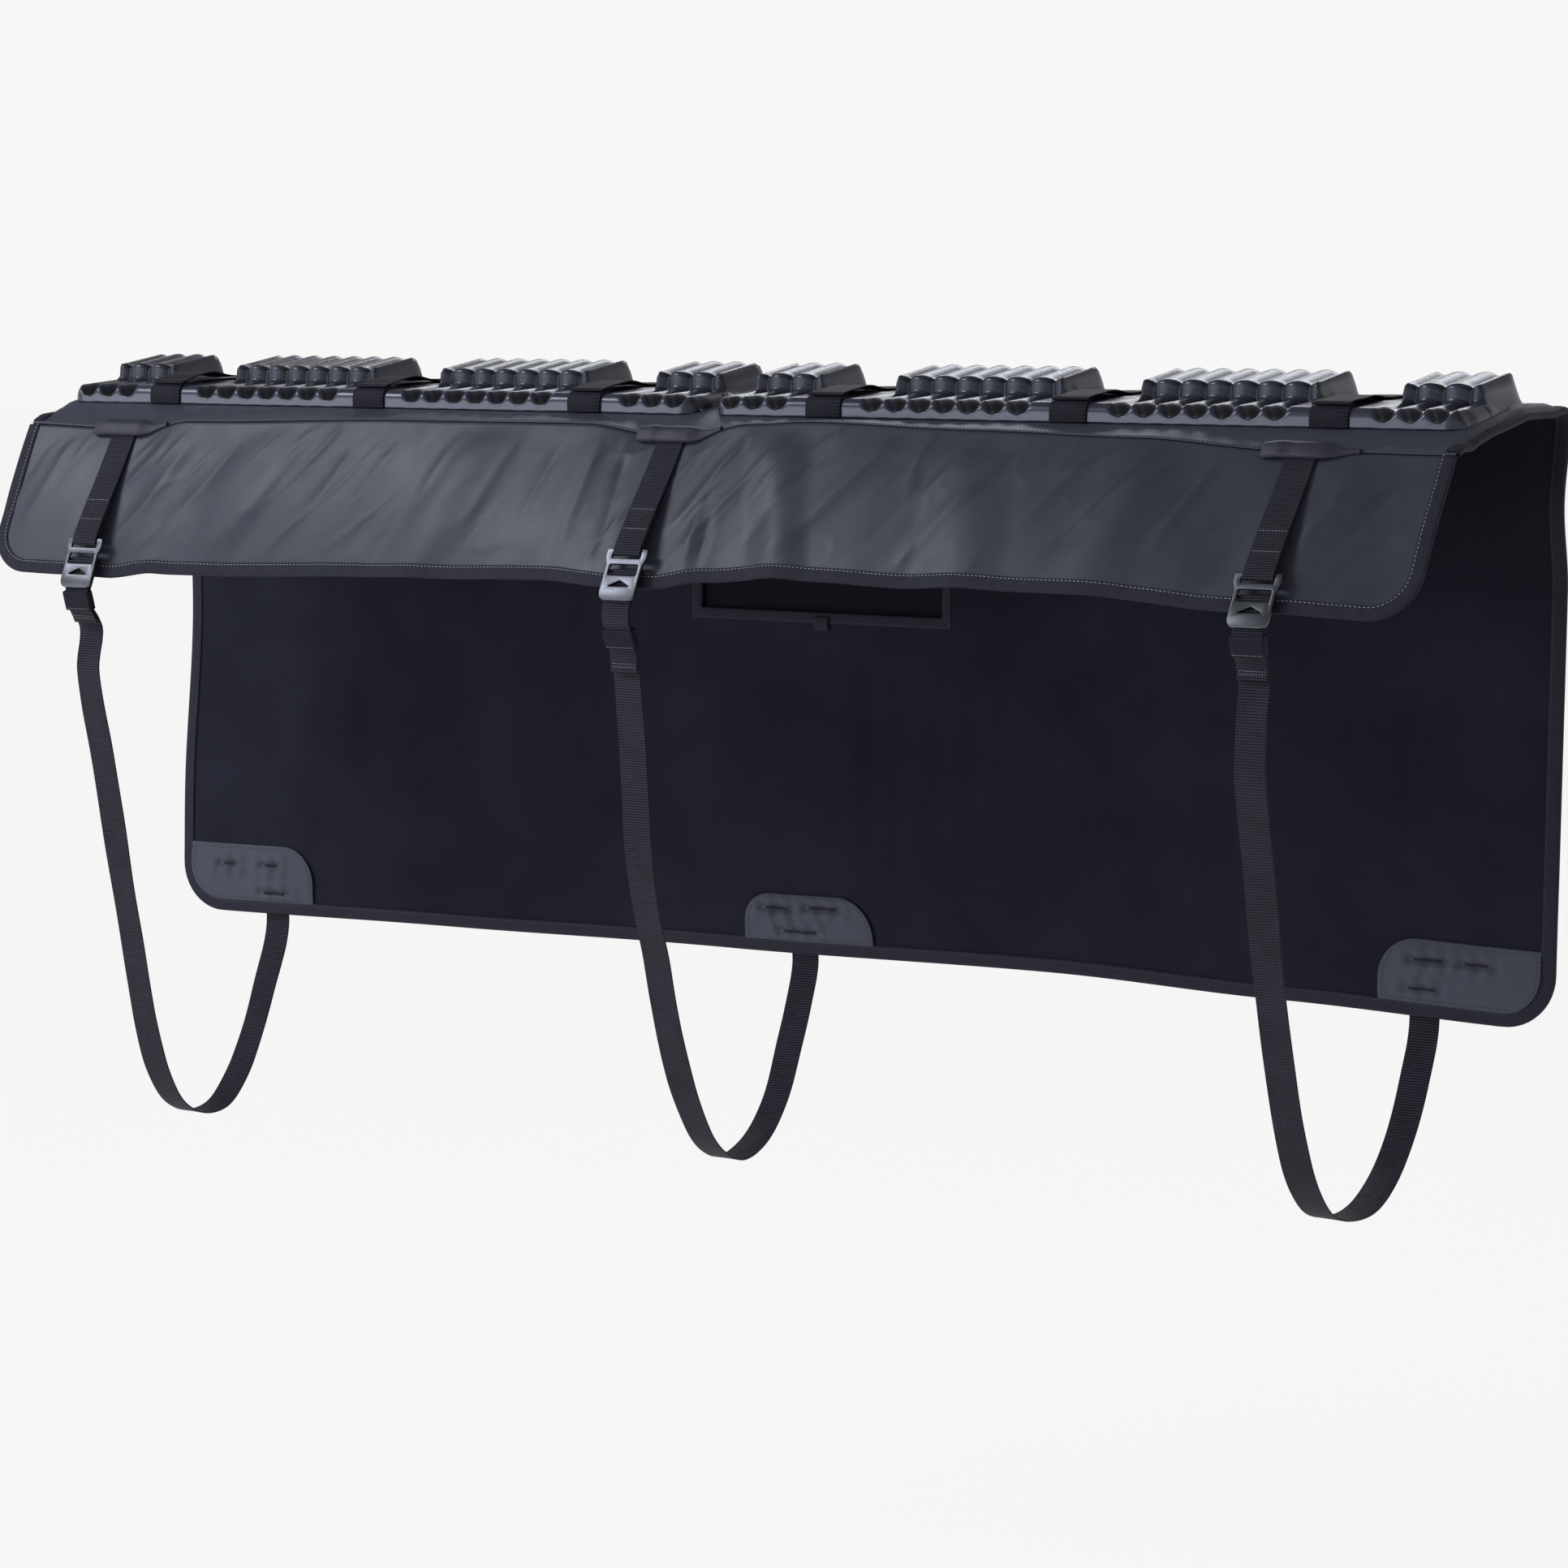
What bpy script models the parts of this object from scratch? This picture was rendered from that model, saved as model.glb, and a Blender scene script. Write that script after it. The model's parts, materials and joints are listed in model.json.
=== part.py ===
# Tailgate pad for carrying bikes: a tarp cover that hangs over a tailgate, with ribbed
# foam pads on top, straps for six bikes and three buckled straps that pass underneath.
# Units are metres. X runs along the tailgate, Y from the load bed to the outside, Z up.
# The origin is under the lining, in the middle of the flat that rests on the tailgate.

import math

import bmesh
import bpy
from mathutils import Matrix, Vector

# Cloth
HALF_WIDTH = 0.804
TARP = 0.0012
LINING = 0.0020
LAYER_GAP = 0.0005
TAPE = 0.0008
TAPE_WIDTH = 0.0115
TAPE_GAP = 0.0007
HEM_RADIUS = 0.050
FLAP_RADIUS = 0.045
EDGE_DROOP = 0.008
EDGE_DROOP_WIDTH = 0.012
CLEARANCE = 0.0003

# Cover section, front to back
REST_FRONT = -0.028
REST_BACK = 0.030
PAD_FRONT = -0.145
PAD_FRONT_DROP = 0.0202
BAND = 0.050
PANEL_Y = 0.066
PANEL_DROP = 0.5585
PANEL_SWING = 0.018
PANEL_BULGE = 0.007
PANEL_CREASE = 0.011
PANEL_NARROWING = 0.004
REST_MARGIN = 0.006
FLAP = 0.163
FLAP_CURL = 5.0
SEAM_LAP = 0.003

# Foam pads
PAD_GAP = 0.020
PAD_END_MARGIN = 0.012
PAD_LENGTH = HALF_WIDTH - PAD_GAP / 2 - PAD_END_MARGIN
PAD_DEPTH = 0.149
PAD_END_RECESS = 0.018
PAD_END_ROUND = 0.012
STEP_HEIGHT = 0.0195
STEP_RISE = 0.060
STEP_VALLEY = 0.0115
HOLLOW = 0.006
BLOCK_SETBACK = 0.063
BLOCK_FRONT_HEIGHT = 0.0405
BLOCK_BACK_HEIGHT = 0.0490
BLOCK_BACK = 0.137
BLOCK_VALLEY = 0.0042
RIBS_PER_BAY = 10
BIKE_STRAP_SPACING = 0.2627
BIKE_STRAP_FIRST = 0.137

# Straps and hardware
BIKE_STRAP_WIDTH = 0.038
UNDER_STRAP_WIDTH = 0.030
WEBBING = 0.0015
BUCKLE_WIDTH = 0.040
BUCKLE_HEIGHT = 0.053
BUCKLE_EARS = 0.046
BUCKLE_PLATE = 0.003
BUCKLE_TOPS = [0.1285, 0.1300, 0.1325]
BUCKLE_LIFT = 0.0095
BUCKLE_BAR = 0.0030
BUCKLE_TOP_BAR = 0.0045
BUCKLE_SLOT = 0.0055
BUCKLE_MIDDLE_BAR = 0.0060
BUCKLE_WINDOW = 0.0115
BUCKLE_LOW_BAR = 0.0050
TAIL_LENGTHS = [0.070, 0.102, 0.080]
KEEPER_PLACES = [0.0425, 0.066, 0.044]
KEEPER_LENGTH = 0.019
KEEPER_WALL = 0.0012
TAB_LENGTH = 0.094
TAB_ABOVE = 0.0060
TAB_BELOW = 0.0095
CORNER_ZONE = 0.110
STRAP_CELL = 0.022
CELLS_BETWEEN = 7
STITCHED_END = 0.060
FOLDED_END = 0.042

# Patches and window
PATCH_HEIGHT = 0.061
MIDDLE_PATCH_HEIGHT = 0.047
PATCH_WIDTH = 0.164
MIDDLE_PATCH_WIDTH = 0.152
PATCH_RADIUS = 0.040
MIDDLE_PATCH_RADIUS = 0.028
PATCH_THICKNESS = 0.0010
PATCH_INSET = TAPE_WIDTH + 0.0025
WINDOW_LEFT = -0.135
WINDOW_RIGHT = 0.150
WINDOW_TOP = -0.095
WINDOW_BOTTOM = -0.221
WINDOW_TAPE = 0.010

# Where the straps cross the cover, with X at the buckle and X at the hem
BIKE_STRAPS = [BIKE_STRAP_FIRST + BIKE_STRAP_SPACING * n for n in range(3)]
BIKE_STRAP_ARCH = [0.0125, 0.0115, 0.0105, 0.0100, 0.0095, 0.0085]
UNDER_STRAPS = [(-0.676, -0.679), (0.000, -0.0145), (0.661, 0.670)]

# Slope of the band in front of the pads and lean of the flap, as (X, degrees)
BAND_SLOPE = [(-0.80, 24), (-0.70, 27), (-0.65, 27), (-0.59, 16), (-0.32, 9), (-0.10, 8), (-0.022, 19),
              (0.022, 19), (0.085, 5), (0.155, 1), (0.33, 6), (0.50, 10), (0.639, 20), (0.80, 21)]
FLAP_LEAN = [(-0.80, 25), (-0.70, 26), (-0.65, 25), (-0.54, 21), (-0.29, 23), (-0.10, 27), (-0.022, 31),
             (0.022, 31), (0.085, 29), (0.25, 31), (0.45, 34), (0.69, 34), (0.80, 32)]

# How far the hem lifts between the panel's corners, as (X, rise)
HEM_RISE = [(-0.80, 0.0), (-0.45, 0.0035), (-0.10, 0.0075), (0.28, 0.0125), (0.52, 0.0065), (0.80, 0.0)]

# Soft folds in the flap, as X at the seam, X at the lower edge, half width, height
FLAP_FOLDS = [(-0.47, -0.54, 0.050, 0.0040), (-0.21, -0.27, 0.055, 0.0045), (0.12, 0.165, 0.040, 0.0050),
              (0.33, 0.36, 0.055, 0.0040), (0.52, 0.49, 0.050, 0.0035)]

# Hanging loops, from just under the buckle to just under the hem, as (Y, Z) from PAD_FRONT and pad level
LOOPS = [
    [(-0.108, -0.226), (-0.114, -0.266), (-0.109, -0.298), (-0.096, -0.349), (-0.082, -0.412), (-0.066, -0.490),
     (-0.051, -0.555),
     (-0.040, -0.606), (-0.027, -0.658), (-0.008, -0.707), (0.016, -0.739), (0.049, -0.755), (0.089, -0.753),
     (0.121, -0.727), (0.148, -0.687), (0.173, -0.635)],
    [(-0.134, -0.219), (-0.124, -0.275), (-0.115, -0.348), (-0.106, -0.425), (-0.092, -0.477), (-0.076, -0.518),
     (-0.064, -0.557), (-0.044, -0.613), (-0.013, -0.676), (0.024, -0.721), (0.065, -0.739), (0.113, -0.728),
     (0.152, -0.694), (0.180, -0.643), (0.200, -0.602)],
    [(-0.144, -0.206), (-0.149, -0.249), (-0.151, -0.298), (-0.143, -0.341), (-0.131, -0.392), (-0.119, -0.454),
     (-0.106, -0.507), (-0.089, -0.566), (-0.069, -0.624), (-0.041, -0.677), (-0.009, -0.707), (0.036, -0.720),
     (0.089, -0.718), (0.130, -0.698), (0.166, -0.663), (0.196, -0.613)],
]

OUTER_Z = LINING + LAYER_GAP + TARP
STACK = TARP + LAYER_GAP + LINING
PAD_LEVEL = OUTER_Z - PAD_FRONT_DROP
RIB = BIKE_STRAP_SPACING / RIBS_PER_BAY


def clear_scene():
    for thing in list(bpy.data.objects):
        bpy.data.objects.remove(thing, do_unlink=True)


def new_collection(name):
    group = bpy.data.collections.new(name)
    bpy.context.scene.collection.children.link(group)
    return group


def material(name, color, roughness, metallic=0.0):
    finish = bpy.data.materials.new(name)
    finish.use_nodes = True
    shader = finish.node_tree.nodes["Principled BSDF"]
    shader.inputs["Base Color"].default_value = (*color, 1.0)
    shader.inputs["Roughness"].default_value = roughness
    shader.inputs["Metallic"].default_value = metallic
    return finish


def smooth(value):
    value = min(max(value, 0.0), 1.0)
    return value * value * (3 - 2 * value)


def between(knots, x):
    """Reads a value off a list of (X, value), eased from one entry to the next."""
    if x <= knots[0][0]:
        return knots[0][1]
    for (x0, v0), (x1, v1) in zip(knots, knots[1:]):
        if x <= x1:
            return v0 + (v1 - v0) * smooth((x - x0) / (x1 - x0))
    return knots[-1][1]


def add_mesh(name, bm, finish, group):
    mesh = bpy.data.meshes.new(name)
    bm.to_mesh(mesh)
    bm.free()
    mesh.materials.append(finish)
    thing = bpy.data.objects.new(name, mesh)
    group.objects.link(thing)
    return thing


def add_sheet(name, points, finish, group, thickness, side=-1.0):
    """Lays a grid through rows of points and gives it a wall. side is 1 outwards, -1 inwards, 0 both."""
    rows = len(points) - 1
    columns = len(points[0]) - 1
    bm = bmesh.new()
    bmesh.ops.create_grid(bm, x_segments=columns, y_segments=rows, size=0.5)
    for vert in bm.verts:
        i = round((vert.co.x + 0.5) * columns)
        j = round((vert.co.y + 0.5) * rows)
        vert.co = points[j][i]
    bmesh.ops.triangulate(bm, faces=bm.faces[:])
    sheet = add_mesh(name, bm, finish, group)
    wall = sheet.modifiers.new("wall", "SOLIDIFY")
    wall.thickness = thickness
    wall.offset = side
    wall.use_even_offset = True
    return sheet


def add_box(name, size, frame, finish, group):
    bm = bmesh.new()
    bmesh.ops.create_cube(bm, size=1.0)
    bmesh.ops.scale(bm, vec=size, verts=bm.verts)
    bmesh.ops.transform(bm, matrix=frame, verts=bm.verts)
    return add_mesh(name, bm, finish, group)


def cut(target, cutter, operation="DIFFERENCE"):
    cutter.hide_render = True
    cutter.display_type = "WIRE"
    tool = target.modifiers.new(operation.lower(), "BOOLEAN")
    tool.operation = operation
    tool.solver = "EXACT"
    tool.object = cutter


def section_normal(points, n):
    before = points[max(n - 1, 0)]
    after = points[min(n + 1, len(points) - 1)]
    along = (after - before).normalized()
    return Vector((0, -along.z, along.y))


def curve_through(points, steps):
    """A smooth curve through the points that doesn't swing out where their spacing changes."""
    spans = [max((b - a).length, 0.00001) for a, b in zip(points, points[1:])]
    slopes = [(points[1] - points[0]) / spans[0]]
    for n in range(1, len(points) - 1):
        before = (points[n] - points[n - 1]) / spans[n - 1]
        after = (points[n + 1] - points[n]) / spans[n]
        slopes.append((before * spans[n] + after * spans[n - 1]) / (spans[n - 1] + spans[n]))
    slopes.append((points[-1] - points[-2]) / spans[-1])
    path = []
    for n, span in enumerate(spans):
        for k in range(steps):
            t = k / steps
            path.append(points[n] * (2 * t ** 3 - 3 * t * t + 1) + points[n + 1] * (3 * t * t - 2 * t ** 3)
                        + slopes[n] * span * (t ** 3 - 2 * t * t + t) + slopes[n + 1] * span * (t ** 3 - t * t))
    path.append(points[-1].copy())
    return path


# The cover's outer surface
def columns_across(refine=1):
    """X places of the cloth's columns, with a flat cell at each strap and the droop at each side."""
    flat_half = HALF_WIDTH - EDGE_DROOP_WIDTH
    places = [-HALF_WIDTH, -flat_half]
    for n, (x, far) in enumerate(UNDER_STRAPS):
        if n > 0:
            start = places[-1]
            step = (x - STRAP_CELL - start) / CELLS_BETWEEN
            places += [start + step * k for k in range(1, CELLS_BETWEEN)]
        places += [x - STRAP_CELL, x + STRAP_CELL]
    places += [flat_half, HALF_WIDTH]
    fine = []
    for a, b in zip(places, places[1:]):
        fine += [a + (b - a) * k / refine for k in range(refine)]
    return fine + [HALF_WIDTH]


def squeezed(x, half):
    """Brings the outer columns in to a narrower row, as at a rounded corner."""
    fixed = HALF_WIDTH - CORNER_ZONE
    if abs(x) <= fixed:
        return x
    return math.copysign(fixed + (abs(x) - fixed) * (half - fixed) / (HALF_WIDTH - fixed), x)


def seam_at(x):
    slope = math.radians(between(BAND_SLOPE, x))
    return Vector((x, PAD_FRONT - BAND * math.cos(slope), PAD_LEVEL - BAND * math.sin(slope)))


def seam(x):
    """The seam between band and flap, straight inside each column of the cloth."""
    places = columns_across()
    for a, b in zip(places, places[1:]):
        if x <= b:
            return seam_at(a).lerp(seam_at(b), (x - a) / (b - a))
    return seam_at(x)


def hem_z(x):
    return PAD_LEVEL - PANEL_DROP + between(HEM_RISE, x)


def panel_y(x, z):
    depth = smooth((PAD_LEVEL - 0.22 - z) / 0.34)
    swing = PANEL_SWING * smooth((-x - 0.20) / 0.60) * depth
    bulge = PANEL_BULGE * smooth((-x - 0.20) / 0.60) * smooth(1 - abs(z - PAD_LEVEL + 0.21) / 0.20)
    crease = PANEL_CREASE * smooth((x - 0.45) / 0.35) * smooth(1 - abs(z - PAD_LEVEL + 0.075) / 0.075)
    return PANEL_Y - swing - crease + bulge


def top_section(x):
    """Front line of the pads to the top of the panel."""
    rise = PAD_FRONT_DROP
    front = REST_FRONT - PAD_FRONT
    shape = [(0.0, 0.0), (0.28, 0.35), (0.54, 0.58), (0.78, 0.79), (1.0, 1.0)]
    points = [Vector((x, PAD_FRONT + front * a, PAD_LEVEL + rise * b)) for a, b in shape]
    points.append(Vector((x, REST_FRONT + REST_MARGIN, OUTER_Z)))
    points.append(Vector((x, REST_BACK - REST_MARGIN, OUTER_Z)))
    points.append(Vector((x, REST_BACK, OUTER_Z)))
    points.append(Vector((x, PANEL_Y - 0.016, OUTER_Z - 0.0027)))
    points.append(Vector((x, PANEL_Y - 0.005, OUTER_Z - 0.0072)))
    points.append(Vector((x, PANEL_Y, OUTER_Z - 0.0145)))
    return points


def cover_rows():
    """Rows of outer surface points, from the seam over the top and down the panel."""
    spread = columns_across()
    panel_steps = 6
    arc_steps = 4
    rows = []
    for n in (0.0, 0.12, 0.55):
        rows.append([seam(x).lerp(Vector((x, PAD_FRONT, PAD_LEVEL)), n) for x in spread])
    sections = [top_section(x) for x in spread]
    for n in range(len(sections[0])):
        rows.append([section[n] for section in sections])
    top = sections[0][-1].z
    for n in range(1, panel_steps + 1):
        row = []
        half = HALF_WIDTH - PANEL_NARROWING * n / panel_steps
        for x in spread:
            x = squeezed(x, half)
            z = top + (hem_z(x) + HEM_RADIUS - top) * n / panel_steps
            row.append(Vector((x, panel_y(x, z), z)))
        rows.append(row)
    for n in range(1, arc_steps + 1):
        angle = math.pi / 2 * n / arc_steps
        half = HALF_WIDTH - PANEL_NARROWING - HEM_RADIUS * (1 - math.cos(angle))
        row = []
        for x in spread:
            x = squeezed(x, half)
            z = hem_z(x) + HEM_RADIUS * (1 - math.sin(angle))
            row.append(Vector((x, panel_y(x, z), z)))
        rows.append(row)
    for row in rows:
        for point in (row[0], row[-1]):
            on_top = smooth((PANEL_Y - 0.004 - point.y) / 0.03) * smooth((point.z - OUTER_Z + 0.060) / 0.03)
            point.z -= EDGE_DROOP * on_top * smooth((point.y - PAD_FRONT + 0.035) / 0.03)
    return rows


def sheet_normal(rows, j, i):
    across = rows[j][min(i + 1, len(rows[j]) - 1)] - rows[j][max(i - 1, 0)]
    along = rows[min(j + 1, len(rows) - 1)][i] - rows[max(j - 1, 0)][i]
    return across.cross(along).normalized()


def moved_rows(rows, distance):
    """The same rows moved out along the sheet's normals."""
    return [[point + sheet_normal(rows, j, i) * distance for i, point in enumerate(row)]
            for j, row in enumerate(rows)]


def add_tape(name, path, normals, stack, finish, group):
    """A folded tape round the edge of a sheet whose outer surface the path follows."""
    inner = []
    for n, point in enumerate(path):
        along = (path[min(n + 1, len(path) - 1)] - path[max(n - 1, 0)]).normalized()
        out = normals[n].cross(along).normalized()
        face = along.cross(out).normalized()
        lifted = point + face * TAPE_GAP
        sunk = point - face * (stack + TAPE_GAP)
        inner.append((lifted - out * TAPE_WIDTH, lifted + out * TAPE_GAP,
                      sunk + out * TAPE_GAP, sunk - out * TAPE_WIDTH))
    rows = [[inner[n][k] for n in range(len(path))] for k in range(4)]
    return add_sheet(name, rows, finish, group, TAPE, 1.0)


def panel_point(x, z, lift):
    """A point off the panel, at a lift from its outer surface."""
    step = 0.004
    here = Vector((x, panel_y(x, z), z))
    across = Vector((x + step, panel_y(x + step, z), z)) - here
    down = Vector((x, panel_y(x, z - step), z - step)) - here
    return here + across.cross(down).normalized() * lift


# The flap
def flap_relief(x, t):
    total = 0.0
    for top, bottom, width, height in FLAP_FOLDS:
        middle = top + (bottom - top) * t / FLAP
        total += height * smooth(1 - abs(x - middle) / width) * smooth(t / 0.05)
    return total


def flap_point(x, t, lift=0.0):
    """A point at a distance below the seam, lifted off the flap's outer surface."""
    start = seam(x) + Vector((0, -0.001, -0.0008))
    curl = math.radians(FLAP_CURL)
    lean = math.radians(between(FLAP_LEAN, x)) + curl
    turn = 2 * curl / FLAP
    forward = (math.cos(lean - turn * t) - math.cos(lean)) / turn
    down = (math.sin(lean) - math.sin(lean - turn * t)) / turn
    angle = lean - turn * t
    out = Vector((0, -math.cos(angle), math.sin(angle)))
    return start + Vector((0, -forward, -down)) + out * (lift + flap_relief(x, t))


def flap_rows():
    """Rows of outer surface points, from the lower edge up to the seam and under the band."""
    arc_steps = 4
    straight_steps = 3
    turns = [math.pi / 2 * n / arc_steps for n in range(arc_steps, 0, -1)]
    distances = [FLAP - FLAP_RADIUS * (1 - math.sin(turn)) for turn in turns]
    straight = FLAP - FLAP_RADIUS
    distances += [straight * (1 - n / straight_steps) for n in range(straight_steps)]
    distances.append(0.004)
    rows = []
    for t in distances:
        corner = max(t - (FLAP - FLAP_RADIUS), 0.0)
        half = HALF_WIDTH - FLAP_RADIUS + math.sqrt(max(FLAP_RADIUS ** 2 - corner ** 2, 0.0))
        rows.append([flap_point(squeezed(x, half), t) for x in columns_across(2)])
    under = TARP + LAYER_GAP
    edge = []
    tucked = []
    for x in columns_across(2):
        along = (Vector((x, PAD_FRONT, PAD_LEVEL)) - seam(x)).normalized()
        inwards = Vector((0, along.z, -along.y))
        edge.append(seam(x) - along * 0.0012 + inwards * under)
        tucked.append(seam(x) + along * SEAM_LAP + inwards * under)
    rows.append(edge)
    rows.append(tucked)
    return rows


# Foam pads
def cover_height(y):
    """Height of the cover's outer surface under the pads."""
    points = top_section(0.0)
    for a, b in zip(points, points[1:]):
        if y <= b.y:
            return a.z + (b.z - a.z) * (y - a.y) / (b.y - a.y)
    return points[-1].z


def rib_position(x):
    """Distance to the nearest bike strap, counted in ribs."""
    side = abs(x)
    return min(abs(side - strap) for strap in BIKE_STRAPS) / RIB


def fullness(k):
    """1 on a rib's crest or in the open channel, 0 in a valley."""
    if k < 1.5:
        return 1.0
    if k > 4.5 and k < 4.6:
        return 1.0
    return math.sin(math.pi * min(abs(k - round(k)), 0.5)) ** 0.7


def pad_ribs(x):
    """Rib fullness and block height factor at X."""
    side = abs(x)
    k = rib_position(x)
    at_end = side < BIKE_STRAPS[0] or side > BIKE_STRAPS[-1]
    full = 1.0 if at_end and k > 4.5 else fullness(k)
    block = smooth((k - 1.42) / 0.30)
    if at_end:
        block *= smooth((4.62 - k) / 0.30)
    return full, block


def pad_base():
    """Where the pad's underside bends with the cover, back to front."""
    bends = [point for point in top_section(0.0) if PAD_FRONT + PAD_END_RECESS < point.y <= REST_FRONT]
    return [(point.y, point.z + CLEARANCE) for point in reversed(bends)]


def pad_section(x, end, recess):
    """Closed section of a pad at X. end runs from 0 at the pad's end to 1 clear of it."""
    full, block = pad_ribs(x)
    hollow = 1 - full
    front = PAD_FRONT + CLEARANCE + recess
    back = PAD_FRONT + PAD_DEPTH - 0.004 * (1 - end)
    foot = PAD_FRONT + BLOCK_SETBACK
    top = PAD_LEVEL + STEP_HEIGHT - 0.006 * (1 - end)
    rise = STEP_RISE
    mid_depth = PAD_FRONT + 0.030
    crest_y = PAD_FRONT + BLOCK_BACK
    step_foot = top + rise * (foot - front) - 0.0045 * hollow
    low_crest = top + rise * (PAD_DEPTH * 0.60)
    flute = BLOCK_VALLEY * hollow
    raised = block * end
    front_top = step_foot + (PAD_LEVEL + BLOCK_FRONT_HEIGHT - flute - step_foot) * raised
    crest = low_crest + (PAD_LEVEL + BLOCK_BACK_HEIGHT - flute - low_crest) * raised
    floor = cover_height(back) + CLEARANCE
    return [
        (front, cover_height(front) + CLEARANCE),
        (front + 0.5 * HOLLOW * hollow, top - 0.0045 - STEP_VALLEY * 0.75 * hollow),
        (front + 0.0045 + HOLLOW * hollow, top - STEP_VALLEY * hollow),
        (mid_depth, top + rise * 0.026 - STEP_VALLEY * 0.55 * hollow),
        (foot + flute * raised, step_foot),
        (foot + 0.0025 + flute * raised, step_foot + (front_top - 0.006 - step_foot) * raised),
        (foot + 0.0110 + flute * raised, front_top),
        (crest_y - 0.002, crest),
        (crest_y + 0.005, crest - 0.0045 * raised - 0.0008),
        (back - 0.0010, floor + 0.0020),
        (back, floor),
    ] + pad_base()


def pad_stations(inner, outer):
    """X places of the sections, four to a rib, from the pad's inner end to its outer end."""
    steps = []
    first = BIKE_STRAPS[0]
    cell = 0.25 * RIB
    count = round((outer - inner) / cell) + 8
    for n in range(-count, count * 2):
        x = first + n * cell
        k = rib_position(x)
        at_end = x < BIKE_STRAPS[0] or x > BIKE_STRAPS[-1]
        flat = k < 1.2 or (at_end and k > 4.65)
        margin = PAD_END_ROUND + 0.003
        if inner + margin < x < outer - margin and not (flat and abs(k) > 0.1):
            steps.append(x)
    ends = [0.0, PAD_END_ROUND * 0.12, PAD_END_ROUND * 0.40, PAD_END_ROUND]
    return [inner + d for d in ends] + steps + [outer - d for d in reversed(ends)]


def add_pad(name, side, finish, group):
    inner = PAD_GAP / 2
    outer = inner + PAD_LENGTH
    stations = pad_stations(inner, outer)
    if side < 0:
        stations = [-x for x in reversed(stations)]
    sections = []
    for n, x in enumerate(stations):
        at_end = n in (0, len(stations) - 1)
        from_end = min(abs(x) - inner, outer - abs(x), PAD_END_ROUND)
        recess = PAD_END_RECESS * (1 - math.sqrt(1 - (1 - from_end / PAD_END_ROUND) ** 2))
        section = pad_section(x, 0.35 if at_end else 1.0, recess)
        sections.append(section + [section[0]])
    columns = len(stations) - 1
    rows = len(sections[0]) - 1
    bm = bmesh.new()
    bmesh.ops.create_grid(bm, x_segments=columns, y_segments=rows, size=0.5)
    for vert in bm.verts:
        i = round((vert.co.x + 0.5) * columns)
        j = round((vert.co.y + 0.5) * rows)
        y, z = sections[i][j]
        vert.co = Vector((stations[i], y, z))
    bmesh.ops.remove_doubles(bm, verts=bm.verts, dist=0.00001)
    open_edges = [edge for edge in bm.edges if edge.is_boundary]
    bmesh.ops.holes_fill(bm, edges=open_edges, sides=0)
    bmesh.ops.recalc_face_normals(bm, faces=bm.faces)
    if bm.calc_volume(signed=True) < 0:
        bmesh.ops.reverse_faces(bm, faces=bm.faces)
    return add_mesh(name, bm, finish, group)


# Straps
def add_ribbon(name, path, width, finish, group, thickness=WEBBING):
    """A flat strap along a path in planes of constant X, with X carried by the path."""
    half = Vector((width / 2, 0, 0))
    rows = [[point - half, point + half] for point in path]
    return add_sheet(name, rows, finish, group, thickness, 0.0)


def add_bike_strap(number, x, arch, webbing, band, group):
    """The webbing anchor up the front of the pad, and the band that arches back over the channel."""
    lift = CLEARANCE + WEBBING / 2
    front = PAD_FRONT - lift
    top = PAD_LEVEL + STEP_HEIGHT
    anchor = [(front, cover_height(PAD_FRONT) + 0.0012), (front, top - 0.0045), (front + 0.0012, top - 0.0015),
              (PAD_FRONT + 0.0045, top + lift), (PAD_FRONT + 0.0150, top + lift + STEP_RISE * 0.015 + 0.0012)]
    path = [Vector((x, y, z)) for y, z in anchor]
    add_ribbon(f"strap_anchor_{number}", path, BIKE_STRAP_WIDTH, webbing, group)
    over = WEBBING + CLEARANCE
    high = top + arch
    rear_top = top + STEP_RISE * PAD_DEPTH * 0.60
    crest_y = PAD_FRONT + BLOCK_BACK
    back = PAD_FRONT + PAD_DEPTH
    points = [(PAD_FRONT + 0.0052, top + lift + over + 0.0002),
              (PAD_FRONT + 0.0150, top + lift + over + STEP_RISE * 0.015 + 0.0016),
              (PAD_FRONT + 0.034, high - 0.0022), (PAD_FRONT + 0.058, high),
              (PAD_FRONT + 0.082, max(high - 0.0036, rear_top + lift)),
              (crest_y - 0.012, rear_top + lift + 0.0002), (crest_y, rear_top + lift + 0.0002),
              (crest_y + 0.010, rear_top - 0.0010 + lift),
              (back + 0.0022, OUTER_Z + lift + 0.0017), (back + 0.0160, OUTER_Z + lift)]
    path = curve_through([Vector((x, y, z)) for y, z in points], 2)
    return add_ribbon(f"bike_strap_{number}", path, BIKE_STRAP_WIDTH, band, group)


class BuckleFrame:
    """Places a point by its distance down the buckle and its lift off the buckle's back face."""

    def __init__(self, number):
        x = UNDER_STRAPS[number - 1][0]
        self.top = BUCKLE_TOPS[number - 1]
        middle = self.top + BUCKLE_HEIGHT * 0.45
        self.x = x
        self.out = (flap_point(x, middle, 1.0) - flap_point(x, middle, 0.0)).normalized()
        self.down = Vector((0, -self.out.z, self.out.y))
        if self.down.z > 0:
            self.down = -self.down
        self.start = flap_point(x, middle, BUCKLE_LIFT) - self.down * (middle - self.top)

    def at(self, down, lift):
        return self.start + self.down * down + self.out * lift

    def matrix(self, down, lift):
        place = self.at(down, lift)
        across = (-self.down).cross(self.out)
        basis = Matrix((across, -self.down, self.out)).transposed()
        return Matrix.Translation(place) @ basis.to_4x4()


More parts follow.
